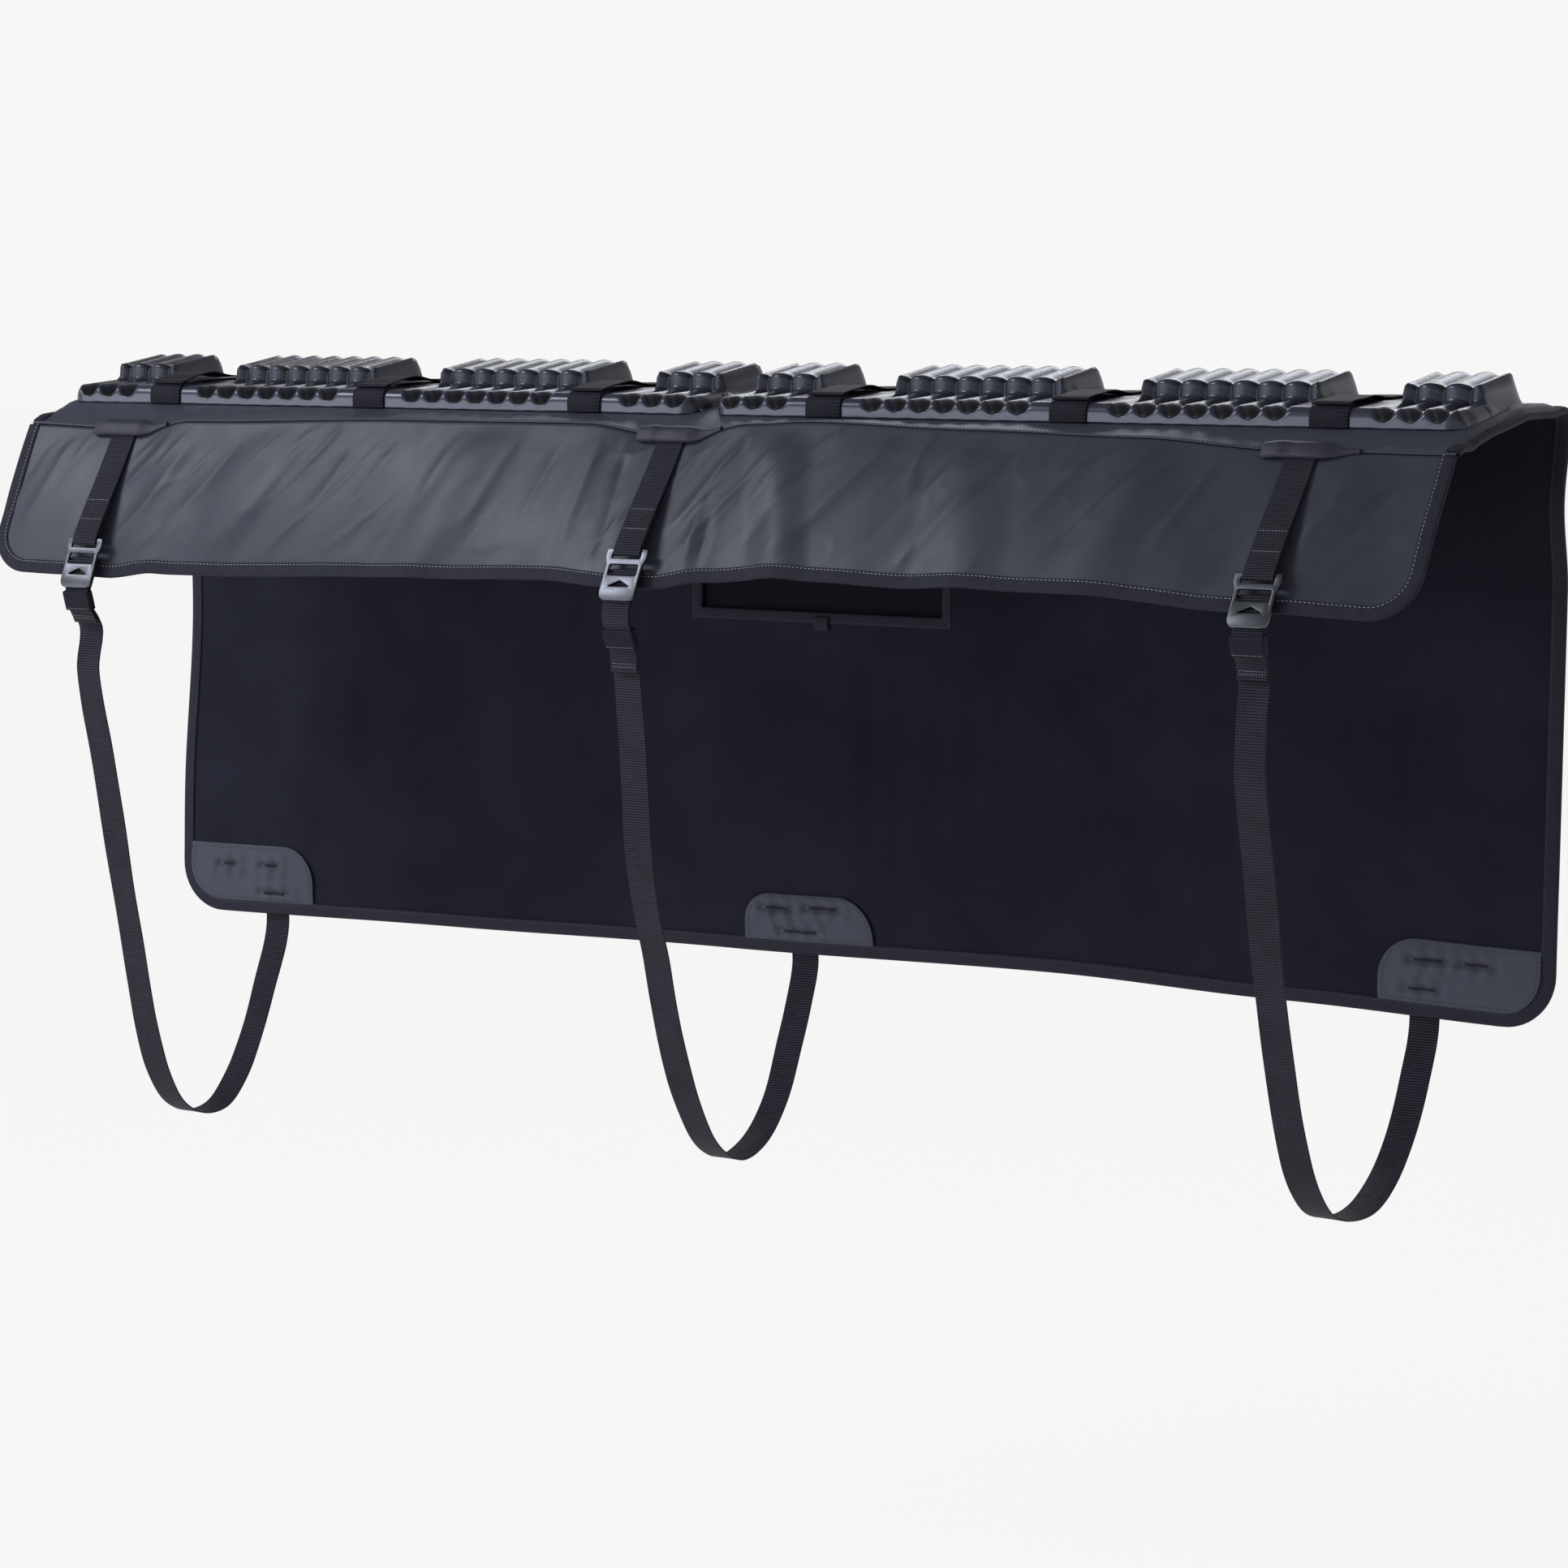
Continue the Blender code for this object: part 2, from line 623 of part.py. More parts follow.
def flat_outline(loops, thickness, name):
    """A plate from closed outlines in X and Y, the first outside and the rest as holes."""
    curve = bpy.data.curves.new(name, "CURVE")
    curve.dimensions = "2D"
    curve.fill_mode = "BOTH"
    curve.extrude = thickness / 2
    for loop in loops:
        spline = curve.splines.new("POLY")
        spline.points.add(len(loop) - 1)
        for point, (x, y) in zip(spline.points, loop):
            point.co = (x, y, 0.0, 1.0)
        spline.use_cyclic_u = True
    return curve


def rounded_loop(corners, steps=3):
    """A closed outline through (X, Y, radius) corners."""
    loop = []
    count = len(corners)
    for n, (x, y, radius) in enumerate(corners):
        here = Vector((x, y))
        before = Vector(corners[n - 1][:2])
        after = Vector(corners[(n + 1) % count][:2])
        into = (before - here).normalized()
        away = (after - here).normalized()
        if radius <= 0:
            loop.append((x, y))
            continue
        half = into.angle(away) / 2
        reach = radius / math.tan(half)
        start = here + into * reach
        end = here + away * reach
        for k in range(steps + 1):
            t = k / steps
            bend = start.lerp(here, t).lerp(here.lerp(end, t), t)
            loop.append((bend.x, bend.y))
    return loop


def add_buckle(number, frame, metal, group, cutters):
    """A flat buckle with a strap slot, a window, a pointed hole and a round bar behind the window."""
    ear = BUCKLE_EARS / 2
    side = BUCKLE_WIDTH / 2
    inside = UNDER_STRAP_WIDTH / 2 + 0.0010
    slot_top = -BUCKLE_TOP_BAR
    slot_low = slot_top - BUCKLE_SLOT
    window_top = slot_low - BUCKLE_MIDDLE_BAR
    window_low = window_top - BUCKLE_WINDOW
    hole_top = window_low - BUCKLE_LOW_BAR
    low = -BUCKLE_HEIGHT
    outline = rounded_loop([(-ear, 0.0, 0.003), (ear, 0.0, 0.003), (ear, -0.009, 0.003), (side, -0.017, 0.004),
                            (side, low, 0.009), (-side, low, 0.009), (-side, -0.017, 0.004), (-ear, -0.009, 0.003)])
    slot = rounded_loop([(-inside, slot_top, 0.001), (inside, slot_top, 0.001),
                         (inside, slot_low, 0.001), (-inside, slot_low, 0.001)], 1)
    window = rounded_loop([(-inside, window_top, 0.002), (inside, window_top, 0.002),
                           (inside, window_low, 0.002), (-inside, window_low, 0.002)], 2)
    arrow = rounded_loop([(0.0, hole_top, 0.0), (0.0130, hole_top - 0.0065, 0.0), (-0.0130, hole_top - 0.0065, 0.0)])
    name = f"buckle_{number}"
    curve = flat_outline([outline, slot, window, arrow], BUCKLE_PLATE, name)
    flat = bpy.data.objects.new(name + "_flat", curve)
    group.objects.link(flat)
    mesh = bpy.data.meshes.new_from_object(flat.evaluated_get(bpy.context.evaluated_depsgraph_get()))
    bpy.data.objects.remove(flat, do_unlink=True)
    bm = bmesh.new()
    bm.from_mesh(mesh)
    bpy.data.meshes.remove(mesh)
    bmesh.ops.remove_doubles(bm, verts=bm.verts, dist=0.00001)
    bmesh.ops.transform(bm, matrix=frame.matrix(0.0, BUCKLE_PLATE / 2), verts=bm.verts)
    plate = add_mesh(name, bm, metal, group)
    bar_lift = bar_place()[1]
    lug = 0.0025
    bar_half = inside + lug
    bm = bmesh.new()
    bmesh.ops.create_cone(bm, cap_ends=True, segments=10, radius1=BUCKLE_BAR / 2, radius2=BUCKLE_BAR / 2,
                          depth=2 * bar_half)
    bmesh.ops.rotate(bm, verts=bm.verts, matrix=Matrix.Rotation(math.pi / 2, 3, "Y"))
    bmesh.ops.transform(bm, matrix=frame.matrix(bar_place()[0], bar_lift), verts=bm.verts)
    cut(plate, add_mesh(name + "_bar_shape", bm, metal, cutters), "UNION")
    for hand in (-1, 1):
        depth = -bar_lift + BUCKLE_PLATE / 2
        place = frame.matrix(bar_place()[0], bar_lift + depth / 2)
        place = place @ Matrix.Translation((hand * (inside + lug / 2), 0, 0))
        size = (lug, BUCKLE_BAR * 0.8, depth)
        cut(plate, add_box(f"{name}_lug_shape_{hand + 2}", size, place, metal, cutters), "UNION")
    return plate


def bar_place():
    """Distance down the buckle and lift of the bar that the under strap turns round."""
    window_top = BUCKLE_TOP_BAR + BUCKLE_SLOT + BUCKLE_MIDDLE_BAR
    lift = -(CLEARANCE + WEBBING + CLEARANCE + BUCKLE_BAR / 2)
    return window_top + BUCKLE_WINDOW * 0.5, lift


def turn_round(frame, down, lift, radius, start, end, steps):
    """Points on an arc round a bar. 0 degrees is out from the buckle, 90 is up."""
    points = []
    for n in range(steps + 1):
        angle = math.radians(start + (end - start) * n / steps)
        points.append(frame.at(down - radius * math.sin(angle), lift + radius * math.cos(angle)))
    return points


def add_flap_strap(number, frame, webbing, group):
    """Down the flap, round the buckle's top bar, and folded up behind itself."""
    x = frame.x
    lift = CLEARANCE + WEBBING / 2
    fold = WEBBING + CLEARANCE
    surface = 0.0016
    top_lift = BUCKLE_LIFT + BUCKLE_PLATE
    down = [(0.004, surface), (0.030, surface + 0.0008), (0.060, surface + 0.0030), (0.085, surface + 0.0064),
            (frame.top - 0.0175, top_lift - 0.0008)]
    path = [flap_point(x, t, height) for t, height in down]
    path.append(frame.at(-0.0040, BUCKLE_PLATE + lift * 0.6))
    path.append(frame.at(0.0005, BUCKLE_PLATE + lift))
    turn = BUCKLE_PLATE / 2 + lift
    path += turn_round(frame, BUCKLE_TOP_BAR - 0.0004, BUCKLE_PLATE / 2, turn, 0, -180, 5)
    path.append(frame.at(0.0005, -lift))
    path.append(frame.at(-0.0060, BUCKLE_PLATE * 0.2))
    path.append(flap_point(x, frame.top - 0.0175, top_lift - 0.0010 - fold))
    path.append(flap_point(x, frame.top - FOLDED_END, surface + 0.0058 - fold))
    return add_ribbon(f"flap_strap_{number}", path, UNDER_STRAP_WIDTH, webbing, group)


def under_strap_middle(number, frame):
    """Path of the single strap, from behind the buckle's bar round to the outside of the panel."""
    turn = BUCKLE_BAR / 2 + CLEARANCE + WEBBING / 2
    down, lift = bar_place()
    near, far = frame.x, UNDER_STRAPS[number - 1][1]
    loop = [Vector((0, PAD_FRONT + y, PAD_LEVEL + z)) for y, z in LOOPS[number - 1]]
    behind = lift - turn
    knots = [frame.at(down, behind), frame.at(down + 0.014, behind + 0.0004),
             frame.at(BUCKLE_HEIGHT - 0.006, behind + 0.0012), frame.at(BUCKLE_HEIGHT + 0.004, behind + 0.0016)]
    for knot in knots:
        knot.x = 0.0
    knots += loop
    hem = hem_z(far)
    stand = TAPE_GAP + TAPE + CLEARANCE * 3 + WEBBING / 2
    sewn = CLEARANCE * 5 + WEBBING / 2
    for z, height in ((hem - 0.010, stand), (hem + 0.003, stand), (hem + TAPE_WIDTH, stand),
                      (hem + TAPE_WIDTH + 0.010, sewn), (hem + STITCHED_END, sewn)):
        point = panel_point(far, z, height)
        point.x = 0.0
        knots.append(point)
    path = curve_through(knots, 3)
    count = len(path) - 1
    for n, point in enumerate(path):
        point.x = near + (far - near) * smooth(n / count)
    return path


def strap_lengths(path):
    lengths = [0.0]
    for a, b in zip(path, path[1:]):
        lengths.append(lengths[-1] + (b - a).length)
    return lengths


def point_along(path, lengths, wanted):
    """The point at a length along a path."""
    place = next(n for n, length in enumerate(lengths) if length > wanted)
    share = (wanted - lengths[place - 1]) / (lengths[place] - lengths[place - 1])
    return path[place - 1].lerp(path[place], share)


def add_under_strap(number, frame, webbing, group):
    """The folded tail, the turn round the bar, and the long loop under the tailgate."""
    main = under_strap_middle(number, frame)
    lengths = strap_lengths(main)
    down, lift = bar_place()
    turn = BUCKLE_BAR / 2 + CLEARANCE + WEBBING / 2
    near = 2 * turn
    close = WEBBING + CLEARANCE * 1.5
    tail = []
    for n, point in enumerate(main):
        if 0.004 < lengths[n] < TAIL_LENGTHS[number - 1]:
            spacing = near + (close - near) * smooth(lengths[n] / 0.040)
            tail.append(point - section_normal(main, n) * spacing)
    path = list(reversed(tail)) + turn_round(frame, down, lift, turn, 0, 180, 5)[:-1] + main
    return add_ribbon(f"under_strap_{number}", path, UNDER_STRAP_WIDTH, webbing, group)


def add_keeper(number, frame, band, group, cutters):
    """A band round both layers of the strap, just below the buckle."""
    main = under_strap_middle(number, frame)
    lengths = strap_lengths(main)
    wanted = KEEPER_PLACES[number - 1]
    above = point_along(main, lengths, wanted - KEEPER_LENGTH / 2)
    below = point_along(main, lengths, wanted + KEEPER_LENGTH / 2)
    along = (below - above).normalized()
    out = Vector((0, along.z, -along.y))
    chord = above.lerp(below, 0.5)
    middle = chord.lerp(point_along(main, lengths, wanted), 0.5) + out * (WEBBING + CLEARANCE) / 2
    across = along.cross(out) * -1
    basis = Matrix((across, -along, out)).transposed().to_4x4()
    frame_matrix = Matrix.Translation(middle) @ basis
    inside = Vector((UNDER_STRAP_WIDTH + 0.0012, KEEPER_LENGTH * 2, 2 * WEBBING + 0.0046))
    outside = inside + Vector((KEEPER_WALL * 2, 0, KEEPER_WALL * 2))
    outside.y = KEEPER_LENGTH
    sleeve = add_box(f"strap_keeper_{number}", outside, frame_matrix, band, group)
    cut(sleeve, add_box(f"keeper_hollow_{number}", inside, frame_matrix, band, cutters))
    return sleeve


def add_tab(number, x, tarp, group):
    """A folded piece sewn over the seam, which the flap strap comes out of."""
    left = x - TAB_LENGTH * 0.42
    columns = 12
    strap_half = UNDER_STRAP_WIDTH / 2 + 0.003
    rows = [[], [], [], []]
    for n in range(columns + 1):
        place = left + TAB_LENGTH * n / columns
        away = max(abs(place - x) - strap_half, 0.0) / 0.022
        full = smooth(min(n, columns - n) / columns / 0.12)
        spread = 0.45 + 0.55 * full
        arch = smooth(1 - away)
        here = seam(place)
        up = (Vector((place, PAD_FRONT, PAD_LEVEL)) - here).normalized()
        band_out = Vector((0, -up.z, up.y))
        flap_out = (flap_point(place, 0.0, 1.0) - flap_point(place, 0.0)).normalized()
        rows[0].append(flap_point(place, TAB_BELOW * spread, 0.0010 + 0.0032 * arch))
        rows[1].append(flap_point(place, TAB_BELOW * 0.45 * spread, 0.0012 + 0.0042 * arch))
        rows[2].append(here + (band_out + flap_out).normalized() * (0.0016 + 0.0040 * arch))
        rows[3].append(here + up * TAB_ABOVE * spread + band_out * (0.0008 + 0.0020 * arch))
    return add_sheet(f"strap_tab_{number}", rows, tarp, group, TARP, 1.0)


def add_patch(name, corners, tarp, group):
    """A patch on the inside of the panel, from its side edges, its height off the tape and corner radii."""
    left, right, height, radii = corners
    heights = [0.0, 0.08, 0.2, 0.4, 0.6, 0.8, 0.92, 1.0]
    columns = 8
    lift = -(STACK + 2 * CLEARANCE)
    rows = []
    for share in heights:
        edge_left = left
        edge_right = right
        for radius, at_top, at_left in radii:
            from_edge = height * (1 - share) if at_top else height * share
            if from_edge < radius:
                inset = radius - math.sqrt(radius ** 2 - (radius - from_edge) ** 2)
                if at_left:
                    edge_left = max(edge_left, left + inset)
                else:
                    edge_right = min(edge_right, right - inset)
        spread = [edge_left + (edge_right - edge_left) * n / columns for n in range(columns + 1)]
        rows.append([panel_point(x, hem_z(x) + PATCH_INSET + height * share, lift) for x in spread])
    return add_sheet(name, rows, tarp, group, PATCH_THICKNESS, 1.0)


def frame_solid(name, left, right, low, top, border, near, far, finish, group, cutters):
    """A flat frame in the panel's plane, from Y near to Y far, border wide outside the hole."""
    middle = Vector(((left + right) / 2, (near + far) / 2, (low + top) / 2))
    outer = Vector((right - left + 2 * border, far - near, top - low + 2 * border))
    inner = Vector((right - left, (far - near) * 3, top - low))
    place = Matrix.Translation(middle)
    solid = add_box(name, outer, place, finish, group)
    cut(solid, add_box(name + "_hole", inner, place, finish, cutters))
    return solid


def add_window(cover, lining, tape, tarp, group, cutters):
    """The hole in the panel, the folded tape round it, and the flap that closes it outside."""
    place = Matrix.Translation(((WINDOW_LEFT + WINDOW_RIGHT) / 2, PANEL_Y, (WINDOW_TOP + WINDOW_BOTTOM) / 2))
    size = Vector((WINDOW_RIGHT - WINDOW_LEFT, 0.04, WINDOW_TOP - WINDOW_BOTTOM))
    hole = add_box("window_hole", size, place, tape, cutters)
    cut(cover, hole)
    cut(lining, hole)
    reach = TAPE_GAP + TAPE
    ring = frame_solid("window_binding", WINDOW_LEFT + reach, WINDOW_RIGHT - reach, WINDOW_BOTTOM + reach,
                       WINDOW_TOP - reach, WINDOW_TAPE + reach, PANEL_Y - STACK - reach, PANEL_Y + reach,
                       tape, group, cutters)
    groove = frame_solid("window_groove", WINDOW_LEFT + TAPE_GAP, WINDOW_RIGHT - TAPE_GAP,
                         WINDOW_BOTTOM + TAPE_GAP, WINDOW_TOP - TAPE_GAP, WINDOW_TAPE * 2,
                         PANEL_Y - STACK - TAPE_GAP, PANEL_Y + TAPE_GAP, tape, cutters, cutters)
    cut(ring, groove)
    outside = reach + CLEARANCE * 2 + TARP
    margin = WINDOW_TAPE + 0.012
    columns = 6
    rows = []
    for z, lift in ((WINDOW_TOP + margin + 0.008, CLEARANCE * 2 + TARP), (WINDOW_TOP + margin, outside),
                    ((WINDOW_TOP + WINDOW_BOTTOM) / 2, outside), (WINDOW_BOTTOM - margin, outside)):
        left = WINDOW_LEFT - margin
        width = WINDOW_RIGHT - WINDOW_LEFT + 2 * margin
        rows.append([Vector((left + width * n / columns, PANEL_Y + lift, z)) for n in range(columns + 1)])
    return add_sheet("window_flap", rows, tarp, group, TARP)


def build():
    clear_scene()
    group = new_collection("tailgate_pad")
    cutters = new_collection("cutters")
    tarp = material("coated_tarp", (0.085, 0.092, 0.125), 0.42)
    fleece = material("fleece_lining", (0.012, 0.012, 0.022), 0.95)
    tape = material("binding_tape", (0.048, 0.048, 0.065), 0.60)
    foam = material("foam_skin", (0.070, 0.072, 0.095), 0.30)
    webbing = material("webbing", (0.028, 0.028, 0.042), 0.75)
    band = material("loop_band", (0.022, 0.022, 0.032), 0.55)
    metal = material("satin_metal", (0.62, 0.63, 0.66), 0.32, 1.0)

    rows = cover_rows()
    cover = add_sheet("cover_sheet", rows, tarp, group, TARP)
    inside_rows = moved_rows(rows, -(TARP + LAYER_GAP))[2:]
    lining = add_sheet("lining", inside_rows, fleece, group, LINING)

    last = len(rows) - 1
    left = [(j, 0) for j in range(2, last)]
    low = [(last, i) for i in range(len(rows[0]))]
    right = [(j, len(rows[0]) - 1) for j in range(last - 1, 1, -1)]
    edge = left + low + right
    path = [rows[j][i] for j, i in edge]
    normals = [sheet_normal(rows, j, i) for j, i in edge]
    add_tape("cover_binding", path, normals, STACK, tape, group)

    flap = flap_rows()
    add_sheet("front_flap", flap, tarp, group, TARP)
    top = len(flap) - 3
    side = len(flap[0]) - 1
    edge = [(j, side) for j in range(top, 0, -1)]
    edge += [(0, i) for i in range(side, -1, -1)]
    edge += [(j, 0) for j in range(1, top + 1)]
    path = [flap[j][i] for j, i in edge]
    normals = [sheet_normal(flap, j, i) for j, i in edge]
    add_tape("flap_binding", path, normals, TARP, tape, group)

    add_pad("foam_pad_left", -1, foam, group)
    add_pad("foam_pad_right", 1, foam, group)
    places = [-x for x in reversed(BIKE_STRAPS)] + BIKE_STRAPS
    for n, x in enumerate(places):
        add_bike_strap(n + 1, x, BIKE_STRAP_ARCH[n], webbing, band, group)

    for n, (x, far) in enumerate(UNDER_STRAPS):
        frame = BuckleFrame(n + 1)
        add_buckle(n + 1, frame, metal, group, cutters)
        add_flap_strap(n + 1, frame, webbing, group)
        add_tab(n + 1, x, tarp, group)
        add_under_strap(n + 1, frame, webbing, group)
        add_keeper(n + 1, frame, band, group, cutters)

    side = HALF_WIDTH - PANEL_NARROWING - PATCH_INSET
    corner = HEM_RADIUS - PATCH_INSET
    add_patch("patch_left", (-side, -side + PATCH_WIDTH, PATCH_HEIGHT,
                             [(corner, False, True), (PATCH_RADIUS, True, False)]), tarp, group)
    add_patch("patch_right", (side - PATCH_WIDTH, side, PATCH_HEIGHT,
                              [(corner, False, False), (PATCH_RADIUS, True, True)]), tarp, group)
    middle = -0.004
    half = MIDDLE_PATCH_WIDTH / 2
    rounds = [(MIDDLE_PATCH_RADIUS, True, False), (MIDDLE_PATCH_RADIUS, True, True)]
    add_patch("patch_middle", (middle - half, middle + half, MIDDLE_PATCH_HEIGHT, rounds), tarp, group)
    add_window(cover, lining, tape, tarp, group, cutters)


build()
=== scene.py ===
import json
import math

import bmesh
import bpy
import numpy as np
from mathutils import Matrix, Vector, noise

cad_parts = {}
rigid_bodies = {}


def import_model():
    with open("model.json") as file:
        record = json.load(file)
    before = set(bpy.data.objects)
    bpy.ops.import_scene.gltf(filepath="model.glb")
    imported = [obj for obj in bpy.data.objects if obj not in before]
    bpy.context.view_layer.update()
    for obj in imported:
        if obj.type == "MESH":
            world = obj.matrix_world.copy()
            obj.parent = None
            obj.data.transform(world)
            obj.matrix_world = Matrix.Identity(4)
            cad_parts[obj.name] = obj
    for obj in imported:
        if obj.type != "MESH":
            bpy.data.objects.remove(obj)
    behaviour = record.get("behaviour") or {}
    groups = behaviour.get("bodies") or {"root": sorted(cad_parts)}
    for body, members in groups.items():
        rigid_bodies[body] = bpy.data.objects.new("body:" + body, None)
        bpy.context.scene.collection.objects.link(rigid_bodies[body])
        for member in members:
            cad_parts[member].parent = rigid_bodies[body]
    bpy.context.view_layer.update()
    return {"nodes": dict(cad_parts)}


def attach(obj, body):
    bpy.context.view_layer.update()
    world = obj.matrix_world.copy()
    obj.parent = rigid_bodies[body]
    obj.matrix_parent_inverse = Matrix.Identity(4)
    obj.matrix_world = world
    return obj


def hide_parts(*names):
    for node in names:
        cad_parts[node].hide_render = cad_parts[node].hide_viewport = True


for thing in list(bpy.data.objects):
    bpy.data.objects.remove(thing, do_unlink=True)
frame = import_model()
print("frame loaded:", len(frame["nodes"]), "nodes")

# sizes that several pieces share, the same as in the part
cloth = {
    "halfWidth": 0.804, "tarp": 0.0012, "lining": 0.0020, "layerGap": 0.0005,
    "hemRadius": 0.050, "droop": 0.008, "droopWidth": 0.012, "clearance": 0.0003,
    "restFront": -0.028, "restBack": 0.030, "restMargin": 0.006,
    "padFront": -0.145, "padDrop": 0.0202, "band": 0.050,
    "panelY": 0.066, "panelDrop": 0.5585, "swing": 0.018, "bulge": 0.007, "crease": 0.011,
    "narrowing": 0.004, "cornerZone": 0.110,
    "bandSlope": [(-0.80, 24), (-0.70, 27), (-0.65, 27), (-0.59, 16), (-0.32, 9), (-0.10, 8), (-0.022, 19),
                  (0.022, 19), (0.085, 5), (0.155, 1), (0.33, 6), (0.50, 10), (0.639, 20), (0.80, 21)],
    "hemRise": [(-0.80, 0.0), (-0.45, 0.0035), (-0.10, 0.0075), (0.28, 0.0125), (0.52, 0.0065), (0.80, 0.0)],
}
outerZ = cloth["lining"] + cloth["layerGap"] + cloth["tarp"]
padLevel = outerZ - cloth["padDrop"]
clearance = cloth["clearance"]
tapes = {"width": 0.0115, "gap": 0.0007, "wall": 0.0008, "stitchInset": 0.0022, "closest": 0.0012}
strapPlaces = {"bikeFirst": 0.137, "bikeSpacing": 0.2627, "underNear": [-0.676, 0.0, 0.661],
               "underFar": [-0.679, -0.0145, 0.670]}
webbingWall = 0.0015
halfWidth, padFront = cloth["halfWidth"], cloth["padFront"]
panelLine, hemRadius = cloth["panelY"], cloth["hemRadius"]


# small tools
def smooth(value):
    value = np.clip(value, 0.0, 1.0)
    return value * value * (3 - 2 * value)


def between(knots, x):
    places = np.array([knot[0] for knot in knots])
    values = np.array([knot[1] for knot in knots], float)
    x = np.asarray(x, float)
    n = np.clip(np.searchsorted(places, x) - 1, 0, len(places) - 2)
    share = smooth((x - places[n]) / (places[n + 1] - places[n]))
    return values[n] + (values[n + 1] - values[n]) * share


# thin creases where a cloudy field passes zero, leaning the way the cloth is pulled
def crumple(x, t):
    x, t = np.broadcast_arrays(np.asarray(x, float), np.asarray(t, float))
    heights = []
    for a, b in zip(x.ravel(), t.ravel()):
        lean = a + 0.80 * b
        wide = noise.noise(Vector((lean * 15, b * 8, 1.7)))
        fine = noise.noise(Vector((lean * 31, b * 22, 4.2)))
        worn = 0.5 + 1.3 * noise.noise(Vector((a * 9 + 3, b * 9, 8.1)))  # some places stay smooth
        ridge = math.exp(-abs(wide) / 0.075) + 0.30 * math.exp(-abs(fine) / 0.09) - 0.30
        heights.append(ridge * min(max(worn, 0.05), 1))
    return np.array(heights).reshape(x.shape)


def lay(x, y, z):
    return np.stack(np.broadcast_arrays(x, y, z), axis=-1).astype(float)


def unit(v):
    return v / np.maximum(np.linalg.norm(v, axis=-1, keepdims=True), 1e-12)


def gridNormals(points):
    across = np.gradient(points, axis=1)
    along = np.gradient(points, axis=0)
    return unit(np.cross(across, along))


# square to the directions given, in planes of constant X
def faceNormals(along):
    return np.stack([np.zeros(len(along)), -along[:, 2], along[:, 1]], axis=-1)


def runLength(points, axis):
    step = np.linalg.norm(np.diff(points, axis=axis), axis=-1)
    start = np.zeros_like(np.take(step, [0], axis=axis))
    return np.concatenate([start, np.cumsum(step, axis=axis)], axis=axis)


def newObject(name, mesh):
    thing = bpy.data.objects.new(name, mesh)
    bpy.context.scene.collection.objects.link(thing)
    return thing


# points is rows x columns x 3; the UV map is in metres
def gridPiece(name, points, finish, wall=0.0, side=-1.0, hole=None, merge=False, attributes=None):
    rows, columns = points.shape[:2]
    bm = bmesh.new()
    bmesh.ops.create_grid(bm, x_segments=columns - 1, y_segments=rows - 1, size=0.5)
    mesh = bpy.data.meshes.new(name)
    bm.to_mesh(mesh)
    bm.free()
    flat = np.empty(len(mesh.vertices) * 3, np.float32)
    mesh.vertices.foreach_get("co", flat)
    flat = flat.reshape(-1, 3)
    i = np.rint((flat[:, 0] + 0.5) * (columns - 1)).astype(int)
    j = np.rint((flat[:, 1] + 0.5) * (rows - 1)).astype(int)
    mesh.vertices.foreach_set("co", points[j, i].astype(np.float32).ravel())
    u = runLength(points, 1)[rows // 2][None, :].repeat(rows, 0)
    v = runLength(points, 0)[:, columns // 2][:, None].repeat(columns, 1)
    vertexOf = np.empty(len(mesh.loops), np.int32)
    mesh.loops.foreach_get("vertex_index", vertexOf)
    layer = mesh.uv_layers.new(name="cloth")
    uv = np.stack([u[j, i], v[j, i]], axis=-1)[vertexOf]
    layer.data.foreach_set("uv", uv.astype(np.float32).ravel())
    for key, values in (attributes or {}).items():
        vector = values.ndim == 3
        field = mesh.attributes.new(key, "FLOAT_VECTOR" if vector else "FLOAT", "POINT")
        field.data.foreach_set("vector" if vector else "value", values[j, i].astype(np.float32).ravel())
    if hole is not None or merge:
        bm = bmesh.new()
        bm.from_mesh(mesh)
        if hole is not None:
            i0, i1, j0, j1 = hole
            bm.verts.ensure_lookup_table()
            inside = [face for face in bm.faces
                      if all(i0 <= i[vert.index] <= i1 and j0 <= j[vert.index] <= j1 for vert in face.verts)]
            bmesh.ops.delete(bm, geom=inside, context="FACES")
        if merge:
            bmesh.ops.remove_doubles(bm, verts=bm.verts, dist=1e-6)
        bm.to_mesh(mesh)
        bm.free()
    mesh.materials.append(finish)
    mesh.polygons.foreach_set("use_smooth", np.ones(len(mesh.polygons), bool))
    piece = newObject(name, mesh)
    if wall:
        shell = piece.modifiers.new("wall", "SOLIDIFY")
        shell.thickness = wall
        shell.offset = side
        shell.use_even_offset = False
    return piece


# turns what the modifiers make of the piece into its own plain mesh
def applied(piece):
    bpy.context.view_layer.update()
    seen = piece.evaluated_get(bpy.context.evaluated_depsgraph_get())
    mesh = bpy.data.meshes.new_from_object(seen)
    piece.modifiers.clear()
    old = piece.data
    piece.data = mesh
    bpy.data.meshes.remove(old)
    mesh.name = piece.name
    return piece


